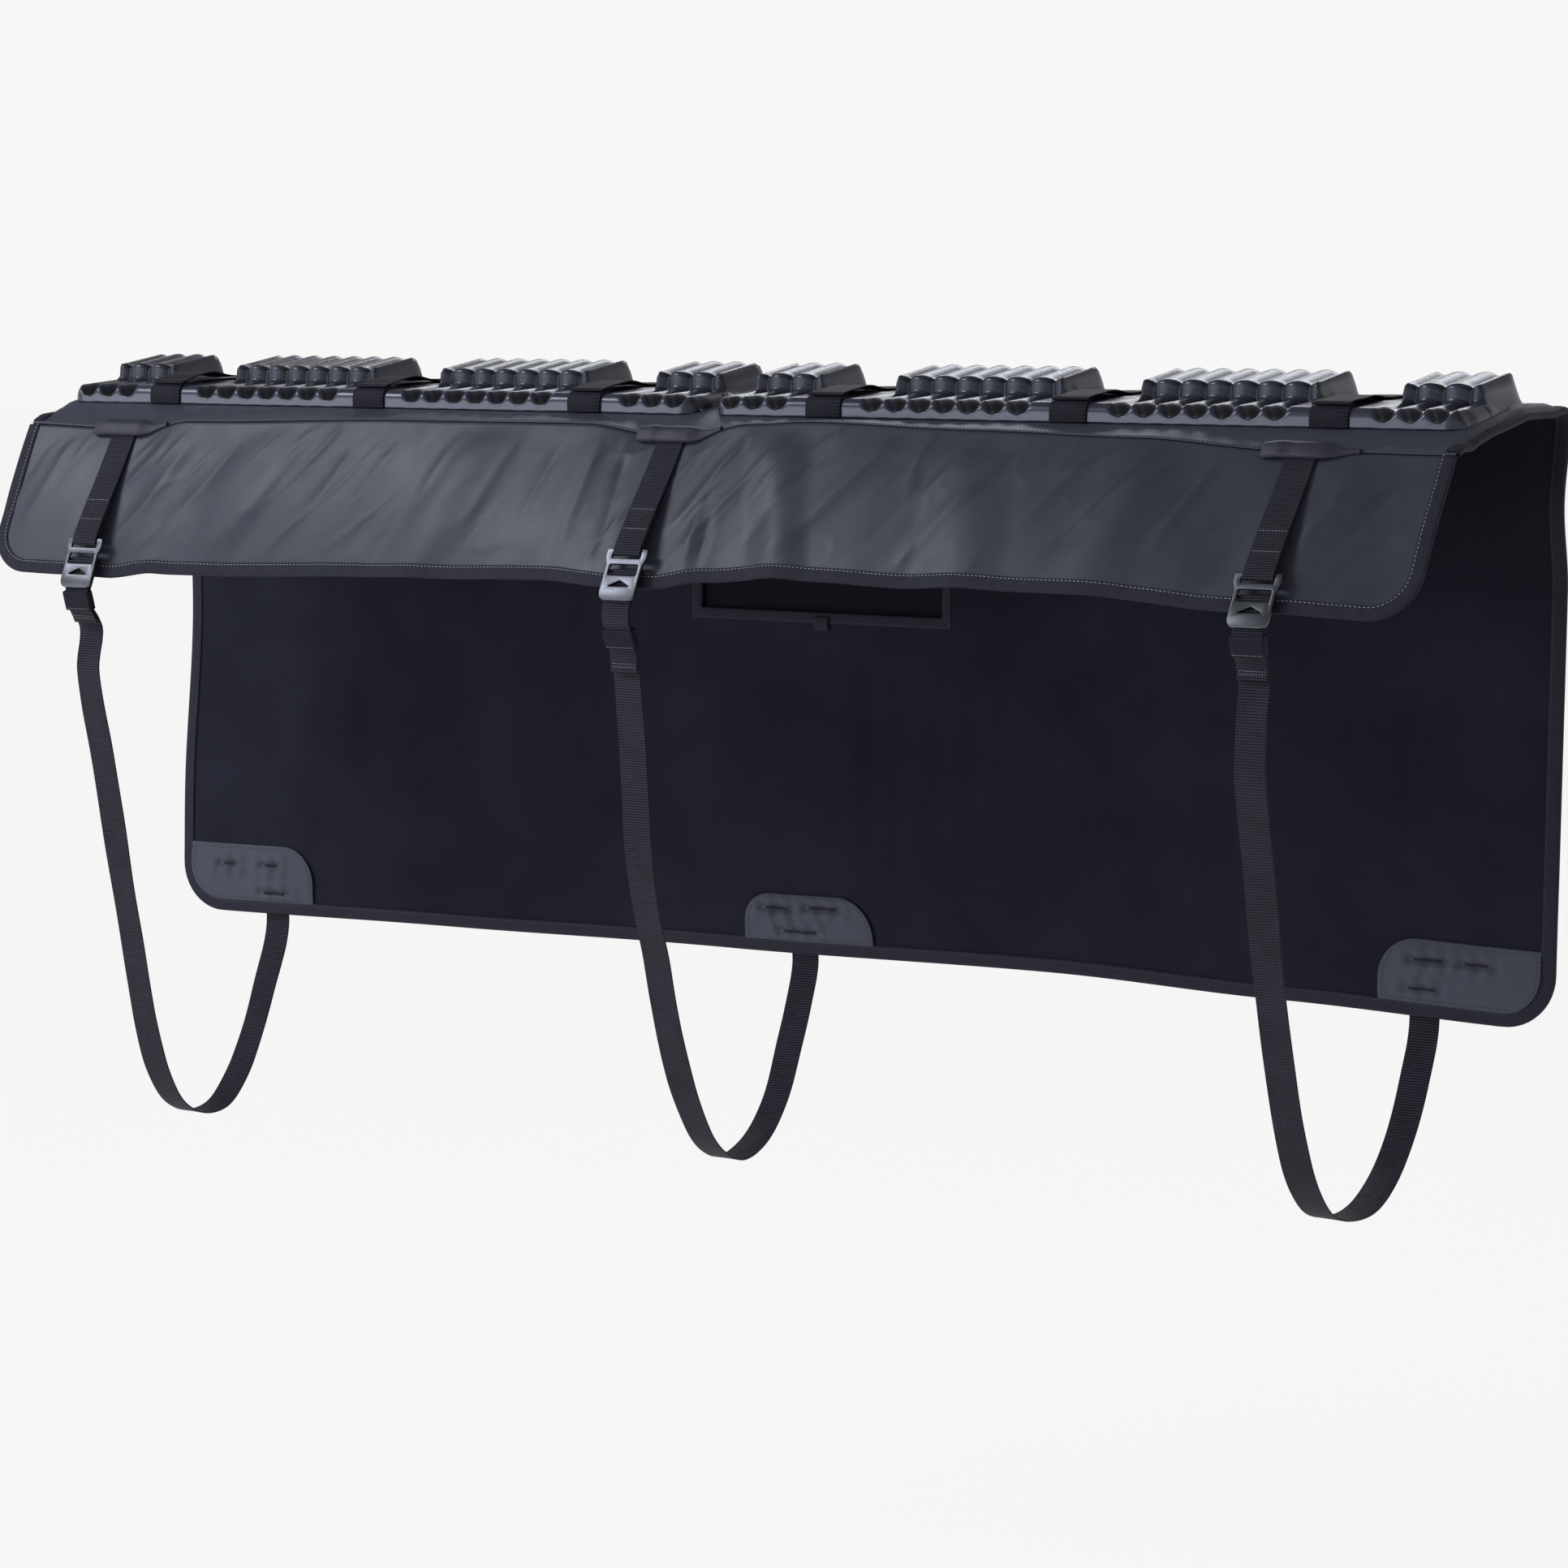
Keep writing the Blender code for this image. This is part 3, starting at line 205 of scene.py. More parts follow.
# the part's own smooth curve, sampled more finely
def curveThrough(points, steps):
    spans = [max((b - a).length, 0.00001) for a, b in zip(points, points[1:])]
    slopes = [(points[1] - points[0]) / spans[0]]
    for n in range(1, len(points) - 1):
        before = (points[n] - points[n - 1]) / spans[n - 1]
        after = (points[n + 1] - points[n]) / spans[n]
        slopes.append((before * spans[n] + after * spans[n - 1]) / (spans[n - 1] + spans[n]))
    slopes.append((points[-1] - points[-2]) / spans[-1])
    path = []
    for n, span in enumerate(spans):
        for k in range(steps):
            t = k / steps
            path.append(points[n] * (2 * t ** 3 - 3 * t * t + 1) + points[n + 1] * (3 * t * t - 2 * t ** 3)
                        + slopes[n] * span * (t ** 3 - 2 * t * t + t) + slopes[n + 1] * span * (t ** 3 - t * t))
    path.append(points[-1].copy())
    return path


# the same path with its points a step apart
def evenly(path, step):
    points = np.array([list(point) for point in path])
    length = runLength(points, 0)
    count = max(int(length[-1] / step), 4)
    wanted = np.linspace(0, length[-1], count + 1)
    return np.stack([np.interp(wanted, length, points[:, k]) for k in range(3)], axis=-1)


# finishes
def nodeAt(tree, kind, *links, **settings):
    node = tree.nodes.new(kind)
    for key in [key for key in settings if hasattr(node, key)]:
        setattr(node, key, settings.pop(key))
    wanted = list(enumerate(links)) + [(key.replace("_", " "), value) for key, value in settings.items()]
    for key, value in wanted:
        if isinstance(value, bpy.types.NodeSocket):
            tree.links.new(value, node.inputs[key])
        elif value is not None:
            node.inputs[key].default_value = value
    return node


def sums(tree, operation, a, b=None):
    return nodeAt(tree, "ShaderNodeMath", a, b, operation=operation).outputs[0]


def newFinish(name, color, roughness, **shaderValues):
    finish = bpy.data.materials.new(name)
    finish.use_nodes = True
    shader = finish.node_tree.nodes["Principled BSDF"]
    shader.inputs["Base Color"].default_value = (*color, 1.0)
    shader.inputs["Roughness"].default_value = roughness
    for key, value in shaderValues.items():
        shader.inputs[key.replace("_", " ")].default_value = value
    return finish, finish.node_tree, shader


# |sin| along one coordinate, one hump a pitch
def wavesOf(tree, coordinate, pitch):
    return sums(tree, "ABSOLUTE", sums(tree, "SINE", sums(tree, "MULTIPLY", coordinate, math.pi / pitch)))


# a soft cloudy change of colour round the base colour
def tinted(tree, shader, color, spread, scale, coordinates, detail=4.0):
    cloud = nodeAt(tree, "ShaderNodeTexNoise", Vector=coordinates, Scale=scale, Detail=detail, Roughness=0.55)
    ramp = nodeAt(tree, "ShaderNodeValToRGB", cloud.outputs["Fac"])
    for element, position, share in zip(ramp.color_ramp.elements, (0.3, 0.72), (1 - spread, 1 + spread)):
        element.position = position
        element.color = (*[c * share for c in color], 1)
    tree.links.new(ramp.outputs["Color"], shader.inputs["Base Color"])
    return cloud.outputs["Fac"], ramp.outputs["Color"]


# painted shade: the colour falls off in the low places of a weave or between ribs
def shadeInLows(tree, shader, color, height, depth):
    keep = nodeAt(tree, "ShaderNodeMapRange", height, To_Min=1 - depth, To_Max=1.0)
    mix = nodeAt(tree, "ShaderNodeVectorMath", color, operation="SCALE", Scale=keep.outputs["Result"])
    tree.links.new(mix.outputs["Vector"], shader.inputs["Base Color"])


# heights are (socket, distance, strength), one bump over the other
def bumped(tree, shader, *heights):
    normal = None
    for height, distance, strength in heights:
        bump = nodeAt(tree, "ShaderNodeBump", Distance=distance, Strength=strength, Height=height, Normal=normal)
        normal = bump.outputs["Normal"]
    tree.links.new(normal, shader.inputs["Normal"])


def uvSockets(tree):
    place = nodeAt(tree, "ShaderNodeUVMap", uv_map="cloth").outputs["UV"]
    split = nodeAt(tree, "ShaderNodeSeparateXYZ", place)
    return place, split.outputs["X"], split.outputs["Y"]


# woven cloth: a plain weave of that pitch, cloudy colour, and fine grain
def clothFinish(name, color, roughness, level, pitch, weave, cloud, grain):
    finish, tree, shader = newFinish(name, color, roughness, Specular_IOR_Level=level)
    place, u, v = uvSockets(tree)
    threads = sums(tree, "MULTIPLY", wavesOf(tree, u, pitch[0]), wavesOf(tree, v, pitch[1]))
    bodyNoise, body = tinted(tree, shader, color, cloud, 14.0, place)
    # painted shade in the low places of the weave
    shadeInLows(tree, shader, body, threads, weave * 0.5)
    heights = [(threads, pitch[0] * 0.3, weave)]
    if grain:
        fine = nodeAt(tree, "ShaderNodeTexNoise", Vector=place, Scale=900.0, Detail=2.0)
        heights.append((fine.outputs["Fac"], 0.0006, grain))
    bumped(tree, shader, *heights)
    worn = nodeAt(tree, "ShaderNodeMapRange", bodyNoise, From_Min=0.3, From_Max=0.7,
                  To_Min=roughness - 0.05, To_Max=roughness + 0.06)
    tree.links.new(worn.outputs["Result"], shader.inputs["Roughness"])
    return finish


# webbing: ribs across the strap, with finer cords along it
def ribbedFinish(name, color, roughness, level, rib, cord, strength):
    finish, tree, shader = newFinish(name, color, roughness, Specular_IOR_Level=level)
    place, u, v = uvSockets(tree)
    ribs = wavesOf(tree, v, rib)
    cords = wavesOf(tree, u, cord)
    body = tinted(tree, shader, color, 0.22, 30.0, place)[1]
    # painted shade between the ribs
    shadeInLows(tree, shader, body, ribs, strength * 0.9)
    bumped(tree, shader, (ribs, rib * 0.35, strength), (cords, cord * 0.2, strength * 0.45))
    return finish


def fleeceFinish():
    color = (0.0135, 0.0142, 0.0225)
    finish, tree, shader = newFinish("fleeceLining", color, 0.95, Specular_IOR_Level=0.03,
                                     Sheen_Weight=0.03, Sheen_Roughness=0.6)
    place = nodeAt(tree, "ShaderNodeTexCoord").outputs["Object"]
    tinted(tree, shader, color, 0.22, 9.0, place, 6.0)
    nap = nodeAt(tree, "ShaderNodeTexNoise", Vector=place, Scale=700.0, Detail=3.0)
    bumped(tree, shader, (nap.outputs["Fac"], 0.0008, 0.35))
    return finish


# painted shade: the skin's colour falls off between the ribs and in the low places of its fine weave
def foamFinish():
    color = (0.028, 0.0295, 0.047)
    finish, tree, shader = newFinish("foamSkin", color, 0.27, Specular_IOR_Level=0.44,
                                     Specular_Tint=(0.82, 0.87, 1.0, 1.0))
    place, u, v = uvSockets(tree)
    threads = sums(tree, "MULTIPLY", wavesOf(tree, u, 0.0013), wavesOf(tree, v, 0.0013))
    body = tinted(tree, shader, color, 0.18, 22.0, place)[1]
    # painted shade: the hollows between the ribs render darker, the crests a little lighter
    crest = nodeAt(tree, "ShaderNodeAttribute", attribute_name="ribHeight")
    shade = nodeAt(tree, "ShaderNodeMapRange", crest.outputs["Fac"], From_Min=0.15, From_Max=0.98,
                   To_Min=0.36, To_Max=1.06)
    # painted shade in the low places of the skin's weave
    woven = nodeAt(tree, "ShaderNodeMath", threads, 0.30, 0.70, operation="MULTIPLY_ADD").outputs[0]
    shadeInLows(tree, shader, body, sums(tree, "MULTIPLY", shade.outputs["Result"], woven), 1.0)
    bumped(tree, shader, (threads, 0.0003, 0.07))
    return finish


def metalFinish():
    color = (0.080, 0.084, 0.096)
    finish, tree, shader = newFinish("satinMetal", color, 0.36, Metallic=1.0)
    place = nodeAt(tree, "ShaderNodeTexCoord").outputs["Object"]
    stretched = nodeAt(tree, "ShaderNodeMapping", place, Scale=(60, 1800, 1800))
    grain = nodeAt(tree, "ShaderNodeTexNoise", Vector=stretched.outputs["Vector"], Scale=1.0, Detail=3.0)
    tinted(tree, shader, color, 0.07, 180.0, place)
    brushed = nodeAt(tree, "ShaderNodeMapRange", grain.outputs["Fac"], To_Min=0.30, To_Max=0.44)
    tree.links.new(brushed.outputs["Result"], shader.inputs["Roughness"])
    bumped(tree, shader, (grain.outputs["Fac"], 0.0002, 0.12))
    return finish


# name, colour, roughness, specular level, then pitch across and along, weave, cloud and grain
cloths = {
    "tarp": ("coatedTarp", (0.0305, 0.0330, 0.0495), 0.42, 0.22, (0.0009, 0.0009), 0.10, 0.10, 0.10),
    "tarpBack": ("coatedTarpOutside", (0.042, 0.045, 0.066), 0.50, 0.26, (0.0009, 0.0009), 0.10, 0.10, 0.10),
    "windowCloth": ("windowCloth", (0.0085, 0.0085, 0.0145), 0.80, 0.05, (0.0010, 0.0010), 0.20, 0.14, 0.12),
    "tab": ("tabCloth", (0.027, 0.028, 0.043), 0.50, 0.24, (0.0010, 0.0010), 0.20, 0.14, 0.12),
    "patch": ("patchCloth", (0.056, 0.059, 0.082), 0.60, 0.18, (0.0011, 0.0011), 0.20, 0.12, 0.12),
    "tape": ("bindingTape", (0.0165, 0.0175, 0.029), 0.66, 0.18, (0.0013, 0.0007), 0.45, 0.14, 0.0),
}
# name, colour, roughness, specular level, rib and cord pitch, strength
webs = {
    "webbing": ("webbing", (0.0235, 0.0235, 0.038), 0.60, 0.18, 0.0026, 0.0030, 0.95),
    "band": ("loopBand", (0.0135, 0.0135, 0.0225), 0.62, 0.10, 0.0016, 0.0016, 0.16),
}
threadColors = {
    "thread": ("lightThread", (0.24, 0.245, 0.28), 0.6),
    "darkThread": ("darkThread", (0.034, 0.034, 0.048), 0.6),
    "slotThread": ("slotThread", (0.008, 0.008, 0.013), 0.7),
}
finishes = {key: clothFinish(*values) for key, values in cloths.items()}
finishes.update({key: ribbedFinish(*values) for key, values in webs.items()})
finishes.update({key: newFinish(*values)[0] for key, values in threadColors.items()})
finishes.update(fleece=fleeceFinish(), foam=foamFinish(), metal=metalFinish())
print("finishes made:", len(finishes))


# node trees for what repeats
def newNodeGroup(name, numbers):
    group = bpy.data.node_groups.new(name, "GeometryNodeTree")
    group.interface.new_socket("Geometry", in_out="INPUT", socket_type="NodeSocketGeometry")
    for key, value in numbers.items():
        group.interface.new_socket(key, in_out="INPUT", socket_type="NodeSocketFloat").default_value = value
    group.interface.new_socket("Finish", in_out="INPUT", socket_type="NodeSocketMaterial")
    group.interface.new_socket("Geometry", in_out="OUTPUT", socket_type="NodeSocketGeometry")
    return group, group.nodes.new("NodeGroupInput").outputs


def pointsAlong(group, given):
    curve = nodeAt(group, "GeometryNodeMeshToCurve", given["Geometry"]).outputs["Curve"]
    return nodeAt(group, "GeometryNodeCurveToPoints", mode="LENGTH", Curve=curve, Length=given["Pitch"]).outputs


def endTree(group, given, geometry, soft=False):
    real = nodeAt(group, "GeometryNodeRealizeInstances", geometry).outputs[0]
    if soft:
        real = nodeAt(group, "GeometryNodeSetShadeSmooth", real).outputs[0]
    painted = nodeAt(group, "GeometryNodeSetMaterial", real, Material=given["Finish"]).outputs[0]
    nodeAt(group, "NodeGroupOutput", painted)
    return group


# short rounded threads along every run of edges
def stitchTree():
    group, given = newNodeGroup("stitchRun", {"Pitch": 0.0042, "Length": 0.0030, "Radius": 0.00035})
    points = pointsAlong(group, given)
    ball = nodeAt(group, "GeometryNodeMeshUVSphere", Segments=6, Rings=4, Radius=1.0)
    turn = nodeAt(group, "FunctionNodeAlignRotationToVector", axis="X", Vector=points["Tangent"])
    half = sums(group, "MULTIPLY", given["Length"], 0.5)
    size = nodeAt(group, "ShaderNodeCombineXYZ", half, given["Radius"], given["Radius"])
    copies = nodeAt(group, "GeometryNodeInstanceOnPoints", Points=points["Points"], Instance=ball.outputs["Mesh"],
                    Rotation=turn.outputs["Rotation"], Scale=size.outputs["Vector"])
    return endTree(group, given, copies.outputs["Instances"])


# round cords that lie along X, one a pitch, up a run of edges
def ribTree():
    group, given = newNodeGroup("webbingRibs", {"Pitch": 0.0024, "Width": 0.038, "Radius": 0.0009})
    points = pointsAlong(group, given)
    cord = nodeAt(group, "GeometryNodeMeshCylinder", Vertices=8, Depth=given["Width"], Radius=given["Radius"])
    laid = nodeAt(group, "GeometryNodeTransform", cord.outputs["Mesh"], Rotation=(0, math.pi / 2, 0))
    copies = nodeAt(group, "GeometryNodeInstanceOnPoints", Points=points["Points"],
                    Instance=laid.outputs["Geometry"])
    return endTree(group, given, copies.outputs["Instances"], True)


# sinks the pad's skin between its ribs: the move of each point times how deep X is in a hollow
def hollowTree():
    group, given = newNodeGroup("padHollows", {"Rib Pitch": 0.02627, "First Valley": 0.137, "Depth": 1.0})

    def field(name, kind):
        return nodeAt(group, "GeometryNodeInputNamedAttribute", data_type=kind, Name=name).outputs["Attribute"]

    place = nodeAt(group, "GeometryNodeInputPosition").outputs["Position"]
    side = sums(group, "ABSOLUTE", nodeAt(group, "ShaderNodeSeparateXYZ", place).outputs["X"])
    turns = sums(group, "DIVIDE", sums(group, "SUBTRACT", side, given["First Valley"]), given["Rib Pitch"])
    crest = sums(group, "ABSOLUTE", sums(group, "SINE", sums(group, "MULTIPLY", turns, math.pi)))
    hollow = sums(group, "SUBTRACT", 1.0, sums(group, "POWER", crest, field("ribShape", "FLOAT")))
    deep = sums(group, "MULTIPLY", hollow, given["Depth"])
    move = nodeAt(group, "ShaderNodeVectorMath", field("hollowMove", "FLOAT_VECTOR"), operation="SCALE",
                  Scale=deep).outputs["Vector"]
    # how high each point stands between the hollows, for the painted shade in the skin's hollows
    reach = nodeAt(group, "ShaderNodeVectorMath", move, operation="LENGTH").outputs["Value"]
    sunk = sums(group, "MINIMUM", sums(group, "DIVIDE", reach, 0.0060), 1.0)
    height = nodeAt(group, "GeometryNodeStoreNamedAttribute", given["Geometry"], Name="ribHeight",
                    Value=sums(group, "SUBTRACT", 1.0, sunk))
    moved = nodeAt(group, "GeometryNodeSetPosition", height.outputs["Geometry"], Offset=move)
    return endTree(group, given, moved.outputs["Geometry"])


trees = {"stitch": stitchTree(), "ribs": ribTree(), "hollows": hollowTree()}


def runTree(piece, tree, values):
    modifier = piece.modifiers.new("run", "NODES")
    modifier.node_group = trees[tree]
    for item in modifier.node_group.interface.items_tree:
        if item.item_type == "SOCKET" and item.in_out == "INPUT" and item.name in values:
            modifier[item.identifier] = values[item.name]
    return applied(piece)


# one mesh of loose edges, a chain for each run of points
def alongRuns(name, runs, tree, values):
    bm = bmesh.new()
    for run in runs:
        verts = [bm.verts.new(tuple(point)) for point in run]
        for a, b in zip(verts, verts[1:]):
            bm.edges.new((a, b))
    mesh = bpy.data.meshes.new(name)
    bm.to_mesh(mesh)
    bm.free()
    return runTree(newObject(name, mesh), tree, values)


def stitches(name, runs, finish="thread", pitch=0.0042, length=0.0028, radius=0.00042):
    return alongRuns(name, runs, "stitch", {"Pitch": pitch, "Length": length, "Radius": radius,
                                            "Finish": finishes[finish]})


print("node trees built:", len(trees))


# the cover's surface, by the part's own rules
def squeezed(x, half):
    fixed = halfWidth - cloth["cornerZone"]
    outer = fixed + (np.abs(x) - fixed) * (half - fixed) / (halfWidth - fixed)
    return np.where(np.abs(x) <= fixed, x, np.sign(x) * outer)


def seamPoint(x):
    slope = np.radians(between(cloth["bandSlope"], x))
    return lay(x, padFront - cloth["band"] * np.cos(slope), padLevel - cloth["band"] * np.sin(slope))


def hemZ(x):
    return padLevel - cloth["panelDrop"] + between(cloth["hemRise"], x)


# soft folds that hang down the panel, none at its hem, its straps or its window
def panelWave(x, z):
    hang = smooth((-0.06 - z) / 0.12) * smooth((z - (padLevel - 0.50)) / 0.10)
    folds = (0.0022 * np.sin(9.5 * x + 0.7 * np.sin(5 * z)) + 0.0016 * np.sin(23 * x + 3.0 * z + 1.3)
             + 0.0009 * np.sin(47 * x - 6.0 * z + 0.4))
    for place, width, height in ((0.075, 0.020, 0.0030), (0.135, 0.026, -0.0032), (0.195, 0.022, 0.0026),
                                 (-0.60, 0.030, 0.0022), (-0.36, 0.045, -0.0022), (0.47, 0.040, 0.0022)):
        folds = folds + height * smooth(1 - np.abs(x - place - 0.03 * z) / width)
    window = np.maximum(np.abs(x - 0.0075) - 0.165, np.abs(z + 0.158) - 0.085)
    return folds * hang * smooth(window / 0.05)


def panelY(x, z, wave=True):
    depth = smooth((padLevel - 0.22 - z) / 0.34)
    swing = cloth["swing"] * smooth((-x - 0.20) / 0.60) * depth
    bulge = cloth["bulge"] * smooth((-x - 0.20) / 0.60) * smooth(1 - np.abs(z - padLevel + 0.21) / 0.20)
    crease = cloth["crease"] * smooth((x - 0.45) / 0.35) * smooth(1 - np.abs(z - padLevel + 0.075) / 0.075)
    return panelLine - swing - crease + bulge + (panelWave(x, z) if wave else 0.0)


def panelPoint(x, z, lift, wave=True):
    step = 0.004
    here = lay(x, panelY(x, z, wave), z)
    across = lay(x + step, panelY(x + step, z, wave), z) - here
    down = lay(x, panelY(x, z - step, wave), z - step) - here
    return here + unit(np.cross(across, down)) * np.asarray(lift)[..., None]


# (Y, Z) from the front line of the pads to the top of the panel
def topProfile():
    front = cloth["restFront"] - padFront
    shape = [(0.0, 0.0), (0.28, 0.35), (0.54, 0.58), (0.78, 0.79), (1.0, 1.0)]
    points = [(padFront + front * a, padLevel + cloth["padDrop"] * b) for a, b in shape]
    points += [(cloth["restFront"] + cloth["restMargin"], outerZ),
               (cloth["restBack"] - cloth["restMargin"], outerZ),
               (cloth["restBack"], outerZ), (panelLine - 0.016, outerZ - 0.0027),
               (panelLine - 0.005, outerZ - 0.0072), (panelLine, outerZ - 0.0145)]
    return points


def coverHeight(y):
    points = topProfile()
    return np.interp(y, [p[0] for p in points], [p[1] for p in points])


windowPlace = {"left": -0.135, "right": 0.150, "top": -0.095, "bottom": -0.221, "tape": 0.010, "tab": 0.003}


def coverColumns():
    step = 0.0062
    ends = [-halfWidth, windowPlace["left"], windowPlace["right"], halfWidth]
    places = [np.linspace(a, b, round(round(b - a, 4) / step) + 1)[int(n > 0):]
              for n, (a, b) in enumerate(zip(ends, ends[1:]))]
    x = np.concatenate(places)
    edge = halfWidth - np.array([0.0008, 0.002, 0.004])
    return np.sort(np.concatenate([x, edge, -edge]))


# the cover's outer surface, and the row where the window and the hem's corners start
def coverGrid():
    x = coverColumns()
    start = seamPoint(x)
    end = lay(x, padFront, padLevel)
    rows = [start + (end - start) * n for n in np.linspace(0, 1, 13)[:-1]]
    for n, share in enumerate(np.linspace(0, 1, 13)[:-1]):
        crease = 0.0009 * np.sin(38 * x + 1.0) + 0.0016 * crumple(x, -cloth["band"] * share)
        rows[n][:, 2] += crease * math.sin(math.pi * share)
    profile = [Vector((0, y, z)) for y, z in topProfile()]
    fine = curveThrough(profile, 4)
    rows += [lay(x, point.y, point.z) for point in fine]
    top = fine[-1].z
    heights = list(np.linspace(top, windowPlace["top"], 20)[1:])
    windowTopRow = len(rows) + len(heights) - 1
    heights += list(np.linspace(windowPlace["top"], windowPlace["bottom"], 27)[1:])
    windowBottomRow = len(rows) + len(heights) - 1
    count = 56
    lowEnd = hemZ(x) + hemRadius
    panelRows = [np.full_like(x, z) for z in heights]
    panelRows += [windowPlace["bottom"] + (lowEnd - windowPlace["bottom"]) * n / count for n in range(1, count + 1)]
    for z in panelRows:
        share = (top - z) / (top - lowEnd)
        half = halfWidth - cloth["narrowing"] * share
        place = squeezed(x, half)
        rows.append(lay(place, panelY(place, z), z))
    for angle in np.linspace(0, math.pi / 2, 13)[1:]:
        half = halfWidth - cloth["narrowing"] - hemRadius * (1 - math.cos(angle))
        place = squeezed(x, half)
        z = hemZ(place) + hemRadius * (1 - math.sin(angle))
        rows.append(lay(place, panelY(place, z), z))
    points = np.array(rows)
    y, z = points[..., 1], points[..., 2]
    onTop = smooth((panelLine - 0.004 - y) / 0.03) * smooth((z - outerZ + 0.060) / 0.03)
    onTop = onTop * smooth((y - padFront + 0.035) / 0.03)
    outer = smooth((np.abs(points[..., 0]) - halfWidth + cloth["droopWidth"]) / cloth["droopWidth"])
    points[..., 2] -= cloth["droop"] * onTop * outer
    left = int(np.argmin(np.abs(x - windowPlace["left"])))
    right = int(np.argmin(np.abs(x - windowPlace["right"])))
    return points, (left, right, windowTopRow, windowBottomRow)


# leaves out points that crowd the one before them
def thinned(path, normals):
    keep = np.concatenate([[True], np.linalg.norm(np.diff(path, axis=0), axis=-1) > tapes["closest"]])
    return path[keep], normals[keep]


# a tape folded round a sheet's edge. The path follows the sheet's outer surface at its edge
def foldedTape(name, path, normals, stack, finish, threadFinish="thread"):
    along = unit(np.gradient(path, axis=0))
    out = unit(np.cross(normals, along))
    face = unit(np.cross(along, out))
    gap, width = tapes["gap"], tapes["width"]
    length = runLength(path, 0)
    puff = 0.00022 * np.sin(length * 2 * math.pi / 0.021) + 0.0002 * np.sin(length * 2 * math.pi / 0.0083 + 1)
    shares = (1.0, 0.985, 0.90, 0.80, 0.55, 0.30, 0.12, 0.02)

    def swell(share):
        return (gap + 0.00045 * math.sin(math.pi * share) + puff * math.sin(math.pi * share))[..., None]

    rows = [path - out * (width * share) + face * swell(share) * (0.5 if share > 0.95 else 1.0) for share in shares]
    half = stack / 2 + gap
    for angle in np.linspace(80, -80, 7):
        turn = math.radians(angle)
        rows.append(path - face * (stack / 2) + face * (half * math.sin(turn))
                    + out * (gap + 0.0009) * math.cos(turn))
    rows += [path - out * (width * share) - face * (stack + swell(share)) for share in reversed(shares)]
    piece = gridPiece(name, np.array(rows), finish, tapes["wall"], 1.0)
    reach = width - tapes["stitchInset"]
    lift = gap + tapes["wall"] + 0.00045
    runs = [path - out * reach + face * lift, path - out * reach - face * (stack + lift)]
    return piece, stitches(name + "Thread", runs, threadFinish)


coverPoints, windowHole = coverGrid()
stack = cloth["tarp"] + cloth["layerGap"] + cloth["lining"]
coverCloth = gridPiece("coverCloth", coverPoints, finishes["tarpBack"], cloth["tarp"], -1.0, hole=windowHole)
coverNormals = gridNormals(coverPoints)
liningPoints = (coverPoints - coverNormals * (cloth["tarp"] + cloth["layerGap"]))[7:]
liningHole = (windowHole[0], windowHole[1], windowHole[2] - 7, windowHole[3] - 7)
liningCloth = gridPiece("liningFleece", liningPoints, finishes["fleece"], cloth["lining"], -1.0, hole=liningHole)
print("cover and lining laid:", coverPoints.shape)


# down one side, along the hem and up the other
def sheetEdge(grid):
    return np.concatenate([grid[1:-1, 0], grid[-1], grid[-2:0:-1, -1]])


coverTape, coverThread = foldedTape("coverTape", *thinned(sheetEdge(coverPoints), sheetEdge(coverNormals)), stack,
                                    finishes["tape"], "darkThread")
print("cover bound")


# tape folded round the window's edge, as one frame with mitred corners
def windowRing():
    left, right, top, bottom, width = (windowPlace[key] for key in ("left", "right", "top", "bottom", "tape"))
    corners = np.array([(left, bottom), (right, bottom), (right, top), (left, top)])
    sides = np.array([(0, -1.0), (1.0, 0), (0, 1.0), (-1.0, 0)])
    steps = 24
    centre = np.array([(left + right) / 2, (top + bottom) / 2])
    path, outward = [], []
    for n, (a, b) in enumerate(zip(corners, np.roll(corners, -1, axis=0))):
        for k in range(steps):
            path.append(a + (b - a) * k / steps)
            outward.append(sides[n] if k else np.sign(a - centre))
    path, outward = np.array(path + path[:1]), np.array(outward + outward[:1])
    gap = tapes["gap"]
    half = stack / 2 + gap
    # reach out from the edge and rise over the panel, round the tape's section
    face = [(width, gap * 0.6), (width * 0.96, gap + 0.0003), (width * 0.5, gap + 0.0006),
            (width * 0.1, gap + 0.0002)]
    fold = [(-(gap + 0.0008) * math.cos(a), -stack / 2 + half * math.sin(a))
            for a in np.radians(np.linspace(75, -75, 6))]
    section = face + fold + [(reach, -stack - rise) for reach, rise in reversed(face)]
    rows = []
    for reach, rise in section:
        flat = path + outward * reach
        rows.append(lay(flat[:, 0], panelLine + rise, flat[:, 1]))
    ring = gridPiece("windowTape", np.array(rows), finishes["tape"], tapes["wall"], 1.0, merge=True)
    x, z = (path + outward * (width - 0.002)).T
    lift = gap + tapes["wall"] + 0.0004
    return ring, stitches("windowTapeThread", [lay(x, panelLine + lift, z), lay(x, panelLine - stack - lift, z)],
                          "darkThread")


# a short fold of tape under the window's frame
def makeWindowTab():
    x0, low = windowPlace["tab"], windowPlace["bottom"] - windowPlace["tape"]
    lift = -(stack + 3 * tapes["gap"] + tapes["wall"])
    x = np.linspace(x0, x0 + 0.016, 9)
    rows = [lay(x, panelY(x, np.full(9, z)) + lift - 0.0012 * math.sin(math.pi * n / 9), z)
            for n, z in enumerate(np.linspace(low - 0.007, low + 0.007, 10))]
    return gridPiece("windowTab", np.array(rows), finishes["tape"], tapes["wall"], 0.0)


